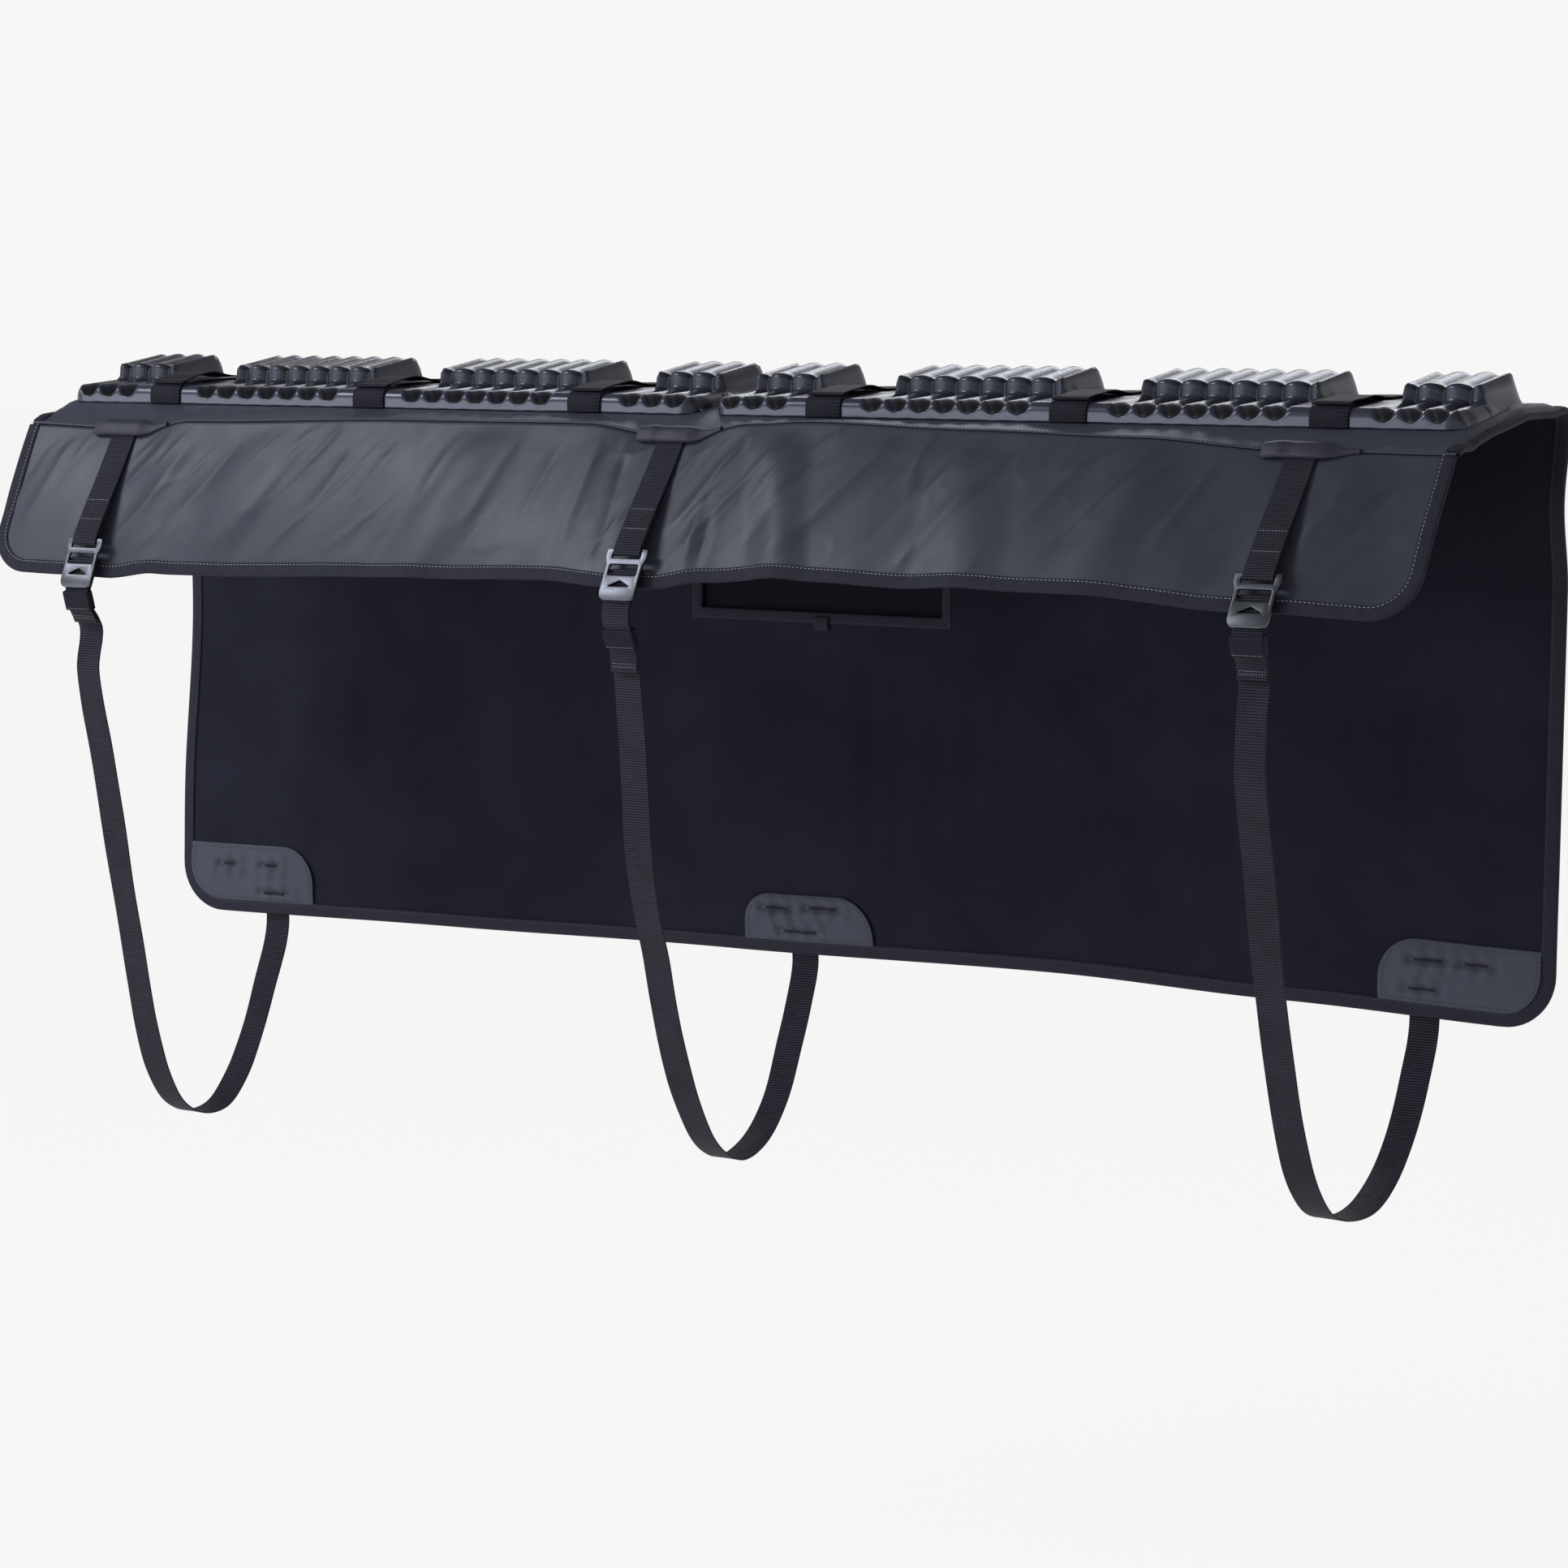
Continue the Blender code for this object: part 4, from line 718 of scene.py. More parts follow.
# the flap that closes the window from outside, sewn along its top
def outerFlap():
    margin, inset, columns, count = windowPlace["tape"] + 0.012, 0.006, 90, 46
    reach = tapes["gap"] + tapes["wall"] + 0.0006 + cloth["tarp"]
    x = np.linspace(windowPlace["left"] - margin, windowPlace["right"] + margin, columns)
    top = windowPlace["top"] + margin + 0.008
    low = windowPlace["bottom"] - margin
    rows = []
    for share in np.linspace(0, 1, count):
        sway = 0.0012 * np.sin(31 * x + 2) * share + 0.0009 * np.sin(70 * x) * share
        lift = 0.0018 + (reach + 0.0008 - 0.0018) * smooth(share / 0.06) + np.maximum(sway, -0.0004)
        rows.append(lay(x, panelLine + lift, top + (low - top) * share))
    points = np.array(rows)
    piece = gridPiece("windowCover", points, finishes["tarpBack"], cloth["tarp"], -1.0)
    piece.data.materials.append(finishes["windowCloth"])
    piece.modifiers["wall"].material_offset = 1  # the inner face is the dark one
    normals = gridNormals(points)
    width, length = x[-1] - x[0], top - low
    corners = [(inset, inset), (width - inset, inset), (width - inset, length - inset), (inset, length - inset)]
    path = []
    for (a0, b0), (a1, b1) in zip(corners, corners[1:] + corners[:1]):
        for k in range(40):
            a, b = a0 + (a1 - a0) * k / 40, b0 + (b1 - b0) * k / 40
            i = min(int(round(a / width * (columns - 1))), columns - 1)
            j = min(int(round(b / length * (count - 1))), count - 1)
            path.append((x[0] + a, points[j, i, 1] + normals[j, i, 1] * 0.0003, top - b))
    return piece, stitches("windowCoverThread", [path]), (float(width), float(length))


windowTape, windowThread = windowRing()
windowTab = makeWindowTab()
windowCover, windowCoverThread, windowCoverFlat = outerFlap()
print("window bound and covered")


# the front flap
flapSizes = {
    "length": 0.163, "curl": 5.0, "radius": 0.045, "columns": 0.0027, "rows": 62, "crumple": 0.0014,
    "lean": [(-0.80, 25), (-0.70, 26), (-0.65, 25), (-0.54, 21), (-0.29, 23), (-0.10, 27), (-0.022, 31),
             (0.022, 31), (0.085, 29), (0.25, 31), (0.45, 34), (0.69, 34), (0.80, 32)],
    "folds": [(-0.47, -0.54, 0.050, 0.0040), (-0.21, -0.27, 0.055, 0.0045), (0.12, 0.165, 0.040, 0.0050),
              (0.33, 0.36, 0.055, 0.0040), (0.52, 0.49, 0.050, 0.0035)],
    # X at the seam, lean of the fold, half width, height, where it starts and ends below the seam
    "creases": [(-0.60, -0.85, 0.014, 0.0026, 0.005, 0.12), (-0.565, -0.60, 0.018, 0.0030, 0.010, 0.16),
                (-0.50, -0.75, 0.014, -0.0022, 0.010, 0.13), (-0.415, -0.70, 0.020, 0.0028, 0.004, 0.15),
                (-0.355, -0.55, 0.013, -0.0020, 0.015, 0.12), (-0.30, -0.62, 0.018, 0.0026, 0.008, 0.15),
                (-0.235, -0.50, 0.012, 0.0018, 0.005, 0.10), (-0.165, -0.42, 0.016, 0.0024, 0.004, 0.15),
                (-0.115, -0.30, 0.011, -0.0020, 0.012, 0.13), (-0.075, -0.12, 0.013, 0.0030, 0.004, 0.163),
                (-0.048, 0.05, 0.010, -0.0026, 0.010, 0.163),
                (0.098, -0.62, 0.012, 0.0042, 0.004, 0.12), (0.150, -0.78, 0.011, 0.0030, 0.004, 0.16),
                (0.062, -0.02, 0.007, 0.0034, 0.070, 0.170), (0.076, -0.02, 0.006, -0.0030, 0.080, 0.170),
                (0.205, -0.70, 0.016, -0.0024, 0.010, 0.15), (0.262, -0.74, 0.018, 0.0030, 0.004, 0.163),
                (0.335, -0.66, 0.015, -0.0020, 0.010, 0.14), (0.395, -0.72, 0.018, 0.0028, 0.006, 0.16),
                (0.470, -0.60, 0.015, 0.0022, 0.005, 0.12), (0.535, -0.66, 0.017, -0.0022, 0.012, 0.15),
                (0.590, -0.40, 0.013, 0.0028, 0.004, 0.14), (0.735, -0.55, 0.015, 0.0024, 0.006, 0.15),
                (0.780, -0.60, 0.014, -0.0018, 0.010, 0.15), (-0.735, -0.35, 0.013, 0.0022, 0.006, 0.13),
                (-0.765, -0.40, 0.013, -0.0016, 0.012, 0.14),
                (-0.742, -0.85, 0.007, 0.0016, 0.003, 0.050), (-0.722, -0.85, 0.007, 0.0018, 0.003, 0.055),
                (-0.768, -0.80, 0.006, 0.0013, 0.003, 0.045), (-0.618, -0.95, 0.008, 0.0022, 0.002, 0.075),
                (-0.590, -0.95, 0.007, 0.0016, 0.012, 0.090), (-0.520, -0.90, 0.008, 0.0018, 0.020, 0.085),
                (-0.452, -0.85, 0.007, 0.0014, 0.012, 0.070), (-0.385, -0.85, 0.007, 0.0014, 0.012, 0.080),
                (-0.255, -0.75, 0.007, 0.0014, 0.004, 0.075), (-0.052, -0.70, 0.007, 0.0015, 0.003, 0.060),
                (0.050, -0.60, 0.008, 0.0020, 0.003, 0.090), (0.120, -0.80, 0.007, 0.0018, 0.012, 0.120),
                (0.178, -0.80, 0.007, 0.0015, 0.010, 0.110), (0.235, -0.80, 0.007, 0.0012, 0.006, 0.080),
                (0.300, -0.75, 0.008, 0.0014, 0.010, 0.100), (0.430, -0.80, 0.007, 0.0014, 0.008, 0.090),
                (0.560, -0.80, 0.008, 0.0016, 0.004, 0.080), (0.715, -0.70, 0.007, 0.0016, 0.004, 0.080)],
}


def flapRelief(x, t, fine=True):
    total = np.zeros(np.broadcast(x, t).shape)
    for top, bottom, width, height in flapSizes["folds"]:
        middle = top + (bottom - top) * t / flapSizes["length"]
        total = total + height * smooth(1 - np.abs(x - middle) / width) * smooth(t / 0.05)
    if not fine:
        return total
    extra = np.zeros_like(total)
    for place, lean, width, height, start, end in flapSizes["creases"]:
        wide = width * (0.6 + 1.1 * t / flapSizes["length"])
        ridge = 1 / (1 + ((x - place - lean * t) / (0.55 * wide)) ** 2) - 0.16
        extra = extra + height * np.maximum(ridge, 0) * smooth((t - start) / 0.035) * smooth((end - t) / 0.05)
    extra = extra + (0.0012 * np.sin(27 * (x + 0.3 * t) + 1.1) + 0.0006 * np.sin(61 * (x + 0.5 * t) + 0.3)
                     + 0.00022 * np.sin(133 * (x + 0.75 * t) + 2.0 * np.sin(19 * x))) * smooth(t / 0.03)
    inside = smooth((halfWidth - 0.014 - np.abs(x)) / 0.030) * smooth((flapSizes["length"] - 0.012 - t) / 0.025)
    extra = 0.66 * extra + flapSizes["crumple"] * crumple(x, t) * smooth(t / 0.015) * inside
    calm = np.ones_like(extra)
    for place in strapPlaces["underNear"]:
        calm = calm * smooth((np.abs(x - place) - 0.012) / 0.020)
    return total + extra * (0.10 + 0.90 * calm)


def flapPoint(x, t, lift=0.0, fine=False):
    x, t = np.asarray(x, float), np.asarray(t, float)
    curl = math.radians(flapSizes["curl"])
    lean = np.radians(between(flapSizes["lean"], x)) + curl
    turn = 2 * curl / flapSizes["length"]
    forward = (np.cos(lean - turn * t) - np.cos(lean)) / turn
    down = (np.sin(lean) - np.sin(lean - turn * t)) / turn
    angle = lean - turn * t
    start = seamPoint(x)
    rise = lift + flapRelief(x, t, fine)
    return lay(x, start[..., 1] - 0.001 - forward - np.cos(angle) * rise,
               start[..., 2] - 0.0008 - down + np.sin(angle) * rise)


def flapAt(x, t, lift=0.0):
    return Vector(flapPoint(x, t, lift).tolist())


def makeFlap():
    count = int(2 * halfWidth / flapSizes["columns"])
    x = np.linspace(-halfWidth, halfWidth, count + 1)
    length, radius = flapSizes["length"], flapSizes["radius"]
    arc = length - radius * (1 - np.sin(np.linspace(math.pi / 2, 0, 16)))
    distances = np.concatenate([arc, np.linspace(length - radius, 0.0016, flapSizes["rows"] - 16)[1:]])
    rows = []
    for t in distances:
        corner = max(t - (length - radius), 0.0)
        half = halfWidth - radius + math.sqrt(max(radius ** 2 - corner ** 2, 0.0))
        rows.append(flapPoint(squeezed(x, half), t, 0.0, True))
    under = cloth["tarp"] + cloth["layerGap"]
    start = seamPoint(x)
    along = unit(lay(x, padFront, padLevel) - start)
    inwards = -faceNormals(along)
    rows.append(start - along * 0.0012 + inwards * under)
    rows.append(start + along * 0.003 + inwards * under)
    points = np.array(rows)
    piece = gridPiece("frontFlapCloth", points, finishes["tarp"], cloth["tarp"], -1.0)
    normals = gridNormals(points)
    top = len(points) - 3
    side = points.shape[1] - 1
    edge = [(j, side) for j in range(top, 0, -1)] + [(0, i) for i in range(side, -1, -1)]
    edge += [(j, 0) for j in range(1, top + 1)]
    path = np.array([points[j, i] for j, i in edge])
    facing = np.array([normals[j, i] for j, i in edge])
    tape, thread = foldedTape("flapTape", *thinned(path, facing), cloth["tarp"], finishes["tape"])
    return piece, tape, thread, points


flapCloth, flapTape, flapThread, flapPoints = makeFlap()
seamLine = seamPoint(np.linspace(-0.80, 0.80, 640))
towardPads = unit(lay(seamLine[:, 0], padFront, padLevel) - seamLine)
seamThread = stitches("seamThread", [seamLine + towardPads * 0.0035 + faceNormals(towardPads) * 0.0003],
                      "darkThread")
print("flap hung:", flapPoints.shape)


# the foam pads
padSizes = {
    "gap": 0.020, "length": 0.782, "depth": 0.149, "ribs": 10, "stepHeight": 0.0195, "rise": 0.060,
    "foot": 0.063, "blockFront": 0.0405, "blockBack": 0.0490, "crest": 0.137, "endRecess": 0.020, "endRound": 0.018,
    "face": 0.0100, "faceValley": 0.0070, "bowl": 0.0120, "column": 0.0016, "rearShare": 0.60,
}
ribPitch = strapPlaces["bikeSpacing"] / padSizes["ribs"]
bikeSides = [strapPlaces["bikeFirst"] + strapPlaces["bikeSpacing"] * n for n in range(3)]


def arcPoints(centre, radius, start, end, steps):
    angles = np.radians(np.linspace(start, end, steps))
    return [(centre[0] + radius * math.cos(a), centre[1] + radius * math.sin(a)) for a in angles]


# count points along a chain of (Y, Z)
def spaced(points, count):
    points = np.array(points, float)
    length = runLength(points, 0)
    wanted = np.linspace(0, length[-1], count)
    return np.stack([np.interp(wanted, length, points[:, k]) for k in range(2)], axis=-1)


# crest and valley sections over the cover, front to back, as distances from the pad's front and level
def padProfiles(raised):
    top, rise, foot, face, back, last, deep = (
        padSizes[key] for key in ("stepHeight", "rise", "foot", "face", "depth", "crest", "bowl"))
    fillet = top - face
    footTop = top + rise * foot
    crestLow = top + rise * back * padSizes["rearShare"]
    frontTop = footTop + (padSizes["blockFront"] - footTop) * raised
    crestTop = crestLow + (padSizes["blockBack"] - crestLow) * raised
    floor = float(coverHeight(padFront + back)) - padLevel + clearance
    front = spaced([(0, 0.0006), (0, face)], 7)
    round1 = spaced(arcPoints((fillet, face), fillet, 180, 95, 9), 9)[1:]
    step = spaced([(fillet + 0.001, top), (foot - 0.003, footTop - 0.0002)], 12)[1:]
    tall = max(frontTop - footTop - 0.0052, 0.0003)
    rise1 = spaced([(foot - 0.001, footTop + 0.0002), (foot + 0.0012, footTop + 0.0014 * raised + 0.0003),
                    (foot + 0.0022, footTop + tall)], 9)
    round2 = spaced(arcPoints((foot + 0.0072, frontTop - 0.0050 * raised - 0.0002), 0.0050, 172, 97, 8), 8)
    round2[:, 1] = footTop + (round2[:, 1] - footTop) * (0.12 + 0.88 * raised)
    roof = spaced([(foot + 0.0125, frontTop + 0.0002), (last - 0.004, crestTop)], 10)
    low = crestTop - 0.0045 * raised - 0.0008
    drop = spaced([(last - 0.0015, crestTop - 0.0002), (last + 0.0025, crestTop - 0.0014 * raised - 0.0003),
                   (last + 0.0055, low - 0.0005)], 5)
    rear = spaced([(last + 0.0075, low - (low - floor) * 0.12), (back - 0.0012, floor + 0.0030), (back, floor)], 8)
    crest = np.concatenate([front, round1, step, rise1, round2, roof, drop, rear])
    valleyFront = spaced([(0, 0.0006), (0.0002, padSizes["faceValley"])], 7)
    bowl = spaced([(0.0014, padSizes["faceValley"] + 0.0002), (0.0050, top - deep - 0.0006), (0.0105, top - deep)], 8)
    rolling = np.array([[y, z - (deep + (0.0045 - deep) * smooth((y - 0.0095) / 0.016))] for y, z in step])
    flute = 0.0048 * raised + 0.0008
    rise1v = rise1 + np.array([flute, 0]) - np.array([0, 0.0040])
    rise1v[:, 1] = np.maximum(rise1v[:, 1], rolling[-1, 1] + 0.0002)
    round2v = round2 + np.array([flute, -0.0046])
    roofv = roof + np.array([0, -0.0046])
    dropv = drop + np.array([-0.0008, -0.0046])
    rearv = rear + np.array([-0.0016, 0]) * np.linspace(1, 0, len(rear))[:, None]
    rearv[:, 1] -= 0.0040 * np.linspace(1, 0, len(rear))
    valley = np.concatenate([valleyFront, bowl, rolling, rise1v, round2v, roofv, dropv, rearv])
    shape = np.concatenate([np.full(7, 2.3), np.full(8, 2.2), np.linspace(2.0, 1.1, 11), np.full(17, 0.60),
                            np.full(23, 0.80)])
    return crest, valley, shape


def makePad(name, side):
    inner = padSizes["gap"] / 2
    outer = inner + padSizes["length"]
    body = np.arange(inner + padSizes["endRound"], outer - padSizes["endRound"], padSizes["column"])
    end = padSizes["endRound"] * (1 - np.cos(np.linspace(0, math.pi / 2, 9)))[:-1]
    across = np.concatenate([inner + end, body, outer - end[::-1]])
    nearest = np.min(np.abs(across[:, None] - np.array(bikeSides)[None, :]), axis=1) / ribPitch
    atEnd = (across < bikeSides[0]) | (across > bikeSides[-1])
    raised = smooth((nearest - 1.40) / 0.26)
    raised = np.where(atEnd, raised * smooth((4.62 - nearest) / 0.26), raised)
    raised = raised ** 0.8
    ribbed = smooth((nearest - 1.5) / 0.02)
    shelf = [padProfiles(share) for share in np.linspace(0, 1, 26)]
    under = [(y, float(coverHeight(y)) + clearance)
             for y in np.linspace(padFront + padSizes["depth"] - 0.006, padFront + padSizes["endRecess"] + 0.002, 9)]
    sections, moves, shapes = [], [], []
    for x, share, rib in zip(across, raised, ribbed):
        n = min(int(share * 25), 24)
        mix = share * 25 - n
        crest = shelf[n][0] * (1 - mix) + shelf[n + 1][0] * mix
        valley = shelf[n][1] * (1 - mix) + shelf[n + 1][1] * mix
        fromEnd = min(x - inner, outer - x, padSizes["endRound"]) / padSizes["endRound"]
        bend = 1 - math.sqrt(max(1 - (1 - fromEnd) ** 2, 0.0))
        frontMove = padSizes["endRecess"] * bend
        weight = np.clip(1 - crest[:, 0] / padSizes["foot"], 0, 1)
        backWeight = np.clip((crest[:, 0] - padSizes["crest"]) / 0.029, 0, 1)
        y = padFront + clearance + crest[:, 0] + frontMove * weight - 0.006 * bend * backWeight
        z = padLevel + crest[:, 1] - 0.009 * bend * np.clip(crest[:, 1] / padSizes["stepHeight"], 0, 1.2)
        floor = coverHeight(y) + clearance
        z = np.maximum(z, floor)
        z[0] = floor[0]
        z[-1] = floor[-1]
        # the corner between a block's side and its front is rounded in plan
        turned = 0.0075 * (1 - smooth(share * 1.02)) * (share > 0.01)
        y = y + turned * np.clip((crest[:, 0] - padSizes["foot"] + 0.004) / 0.004, 0, 1) * (crest[:, 0] < 0.085)
        move = (valley - crest) * rib
        sections.append(np.column_stack([np.full(len(y), side * x), y, z]).tolist()
                        + [[side * x, yy, zz] for yy, zz in under] + [[side * x, y[0], z[0]]])
        vector = np.column_stack([np.zeros(len(y)), move[:, 0], move[:, 1]]).tolist()
        moves.append(vector + [[0, 0, 0]] * (len(under) + 1))
        shapes.append(list(shelf[0][2]) + [1.0] * (len(under) + 1))
    points = np.array(sections).transpose(1, 0, 2)
    hollow = np.array(moves).transpose(1, 0, 2)
    ribShape = np.array(shapes).T
    if side < 0:
        points, hollow, ribShape = points[::-1], hollow[::-1], ribShape[::-1]
    pad = gridPiece(name, points, finishes["foam"], attributes={"hollowMove": hollow, "ribShape": ribShape})
    bm = bmesh.new()
    bm.from_mesh(pad.data)
    bmesh.ops.remove_doubles(bm, verts=bm.verts, dist=2e-5)
    bmesh.ops.holes_fill(bm, edges=[edge for edge in bm.edges if edge.is_boundary], sides=0)
    bmesh.ops.recalc_face_normals(bm, faces=bm.faces)
    if bm.calc_volume(signed=True) < 0:
        bmesh.ops.reverse_faces(bm, faces=bm.faces)
    bm.to_mesh(pad.data)
    bm.free()
    runTree(pad, "hollows", {"Rib Pitch": ribPitch, "First Valley": strapPlaces["bikeFirst"], "Depth": 1.0,
                             "Finish": finishes["foam"]})
    pad.data.polygons.foreach_set("use_smooth", np.ones(len(pad.data.polygons), bool))
    return pad


padLeft = makePad("foamPadLeft", -1)
padRight = makePad("foamPadRight", 1)
print("foam pads shaped:", len(padLeft.data.polygons))


# a strap's path stays in planes of constant X, and this is the way its face looks
def outOf(points):
    return faceNormals(unit(np.gradient(points, axis=0)))


# UV runs across and along the strap in metres
def ribbon(name, path, width, finish, wall=webbingWall, step=0.0016, crown=0.00018, waviness=0.0):
    points = evenly(path, step)
    length = runLength(points, 0)
    normal = outOf(points)
    sway = waviness * (np.sin(length * 23) + 0.6 * np.sin(length * 51 + 1.0))
    columns = []
    for share in np.array([-1.0, -0.985, -0.93, -0.6, -0.25, 0.0, 0.25, 0.6, 0.93, 0.985, 1.0]) / 2:
        move = points + normal * (crown * (1 - (2 * share) ** 2) + sway * share)[:, None]
        columns.append(move + np.array([share * width, 0, 0]))
    return gridPiece(name, np.array(columns).transpose(1, 0, 2), finish, wall, 0.0)


# a strap's lifted face and its lengths, for laying stitches on it
def pathFrame(path, lift):
    points = evenly(path, 0.001)
    return points + outOf(points) * lift, runLength(points, 0)


def onStrap(face, u, s):
    points, length = face
    u, s = np.broadcast_arrays(np.asarray(u, float), np.asarray(s, float))
    place = np.stack([np.interp(s, length, points[:, k]) for k in range(3)], axis=-1)
    place[..., 0] += u
    return place


# the two ends of a stitched box, then its sides and its cross
def stitchedBox(face, inset, start, end, count):
    u, s = np.linspace(-inset, inset, count), np.linspace(start, end, count)
    ends = [onStrap(face, u, start), onStrap(face, u, end)]
    return ends, [onStrap(face, -inset, s), onStrap(face, inset, s), onStrap(face, u, s), onStrap(face, -u, s)]


bikeStrapSizes = {"width": 0.038, "arches": [0.0125, 0.0115, 0.0105, 0.0100, 0.0095, 0.0085],
                  "anchorWall": 0.0009, "ribPitch": 0.0030, "ribRadius": 0.00095}
bikePlaces = [-x for x in reversed(bikeSides)] + bikeSides


def makeBikeStrap(number, x, arch):
    width = bikeStrapSizes["width"]
    lift = clearance + webbingWall / 2
    front = padFront - lift
    top = padLevel + padSizes["stepHeight"]
    low = float(coverHeight(padFront)) + 0.0012
    anchor = [(front, low), (front - 0.0001, (low + top) / 2), (front, top - 0.0085), (front + 0.0010, top - 0.0040),
              (front + 0.0036, top - 0.0008), (padFront + 0.0075, top + lift),
              (padFront + 0.0150, top + lift + 0.0021)]
    path = curveThrough([Vector((x, y, z)) for y, z in anchor], 8)
    base = ribbon(f"strapAnchor{number}", path, width, finishes["band"], bikeStrapSizes["anchorWall"], 0.001)
    points, length = pathFrame(path, -0.0003)
    ribs = alongRuns(f"strapAnchorRibs{number}", [points[length < length[-1] * 0.66]], "ribs",
                     {"Pitch": bikeStrapSizes["ribPitch"], "Width": width - 0.0006,
                      "Radius": bikeStrapSizes["ribRadius"], "Finish": finishes["webbing"]})
    over = top + lift + webbingWall + clearance
    high = top + arch
    rear = top + padSizes["rise"] * padSizes["depth"] * padSizes["rearShare"]
    crest, back = padFront + padSizes["crest"], padFront + padSizes["depth"]
    knots = [(padFront + 0.0040, over - 0.0006), (padFront + 0.0052, over + 0.0002), (padFront + 0.0150, over + 0.0025),
             (padFront + 0.034, high - 0.0022), (padFront + 0.058, high),
             (padFront + 0.082, max(high - 0.0036, rear + lift)), (crest - 0.012, rear + lift + 0.0002),
             (crest, rear + lift + 0.0002), (crest + 0.010, rear - 0.0010 + lift),
             (back + 0.0022, outerZ + lift + 0.0017), (back + 0.0160, outerZ + lift)]
    bandPath = curveThrough([Vector((x, y, z)) for y, z in knots], 8)
    strap = ribbon(f"bikeStrap{number}", bandPath, width, finishes["band"], waviness=0.0006)
    face = pathFrame(bandPath, webbingWall / 2 + 0.0001)
    inset, end = width / 2 - 0.003, face[1][-1]
    s, u = np.linspace(0.002, 0.020, 30), np.linspace(-inset, inset, 40)
    runs = [onStrap(face, u, 0.004), onStrap(face, -inset, s), onStrap(face, inset, s),
            onStrap(face, u, end - 0.004), onStrap(face, u, end - 0.010)]
    return base, ribs, strap, stitches(f"bikeStrapThread{number}", runs, "darkThread", 0.0034, 0.0024, 0.0003)


bikeParts = [makeBikeStrap(n + 1, x, bikeStrapSizes["arches"][n]) for n, x in enumerate(bikePlaces)]
print("bike straps laid:", len(bikeParts))

buckleSizes = {
    "width": 0.040, "height": 0.053, "ears": 0.046, "plate": 0.003, "tops": [0.1285, 0.1300, 0.1325], "lift": 0.0095,
    "bar": 0.0030, "topBar": 0.0045, "slot": 0.0055, "middleBar": 0.0060, "window": 0.0115, "lowBar": 0.0050,
    "bevel": 0.0007,
}
underSizes = {
    "width": 0.030, "tails": [0.070, 0.102, 0.080], "keepers": [0.0425, 0.066, 0.044], "keeper": 0.019,
    "keeperWall": 0.0012, "foldedEnd": 0.042, "stitchedEnd": 0.060,
    "loops": [
        [(-0.108, -0.226), (-0.114, -0.266), (-0.109, -0.298), (-0.096, -0.349), (-0.082, -0.412), (-0.066, -0.490),
         (-0.051, -0.555), (-0.040, -0.606), (-0.027, -0.658), (-0.008, -0.707), (0.016, -0.739), (0.049, -0.755),
         (0.089, -0.753), (0.121, -0.727), (0.148, -0.687), (0.173, -0.635)],
        [(-0.134, -0.219), (-0.124, -0.275), (-0.115, -0.348), (-0.106, -0.425), (-0.092, -0.477), (-0.076, -0.518),
         (-0.064, -0.557), (-0.044, -0.613), (-0.013, -0.676), (0.024, -0.721), (0.065, -0.739), (0.113, -0.728),
         (0.152, -0.694), (0.180, -0.643), (0.200, -0.602)],
        [(-0.144, -0.206), (-0.149, -0.249), (-0.151, -0.298), (-0.143, -0.341), (-0.131, -0.392), (-0.119, -0.454),
         (-0.106, -0.507), (-0.089, -0.566), (-0.069, -0.624), (-0.041, -0.677), (-0.009, -0.707), (0.036, -0.720),
         (0.089, -0.718), (0.130, -0.698), (0.166, -0.663), (0.196, -0.613)],
    ],
}


# places a point by its distance down the buckle and its lift off the buckle's back face
class BucklePlace:

    def __init__(self, number):
        self.x = strapPlaces["underNear"][number - 1]
        self.top = buckleSizes["tops"][number - 1]
        middle = self.top + buckleSizes["height"] * 0.45
        self.out = (flapAt(self.x, middle, 1.0) - flapAt(self.x, middle, 0.0)).normalized()
        self.down = Vector((0, -self.out.z, self.out.y))
        if self.down.z > 0:
            self.down = -self.down
        self.start = flapAt(self.x, middle, buckleSizes["lift"]) - self.down * (middle - self.top)

    def at(self, down, lift):
        return self.start + self.down * down + self.out * lift

    def matrix(self, down, lift):
        across = (-self.down).cross(self.out)
        basis = Matrix((across, -self.down, self.out)).transposed()
        return Matrix.Translation(self.at(down, lift)) @ basis.to_4x4()


def barPlace():
    down = buckleSizes["topBar"] + buckleSizes["slot"] + buckleSizes["middleBar"] + buckleSizes["window"] * 0.5
    return down, -(clearance + webbingWall + clearance + buckleSizes["bar"] / 2)


def roundedLoop(corners, steps=8):
    loop = []
    for n, (x, y, radius) in enumerate(corners):
        here = Vector((x, y))
        into = (Vector(corners[n - 1][:2]) - here).normalized()
        away = (Vector(corners[(n + 1) % len(corners)][:2]) - here).normalized()
        if radius <= 0:
            loop.append((x, y))
            continue
        reach = radius / math.tan(into.angle(away) / 2)
        start, end = here + into * reach, here + away * reach
        for k in range(steps + 1):
            t = k / steps
            bend = start.lerp(here, t).lerp(here.lerp(end, t), t)
            loop.append((bend.x, bend.y))
    return loop
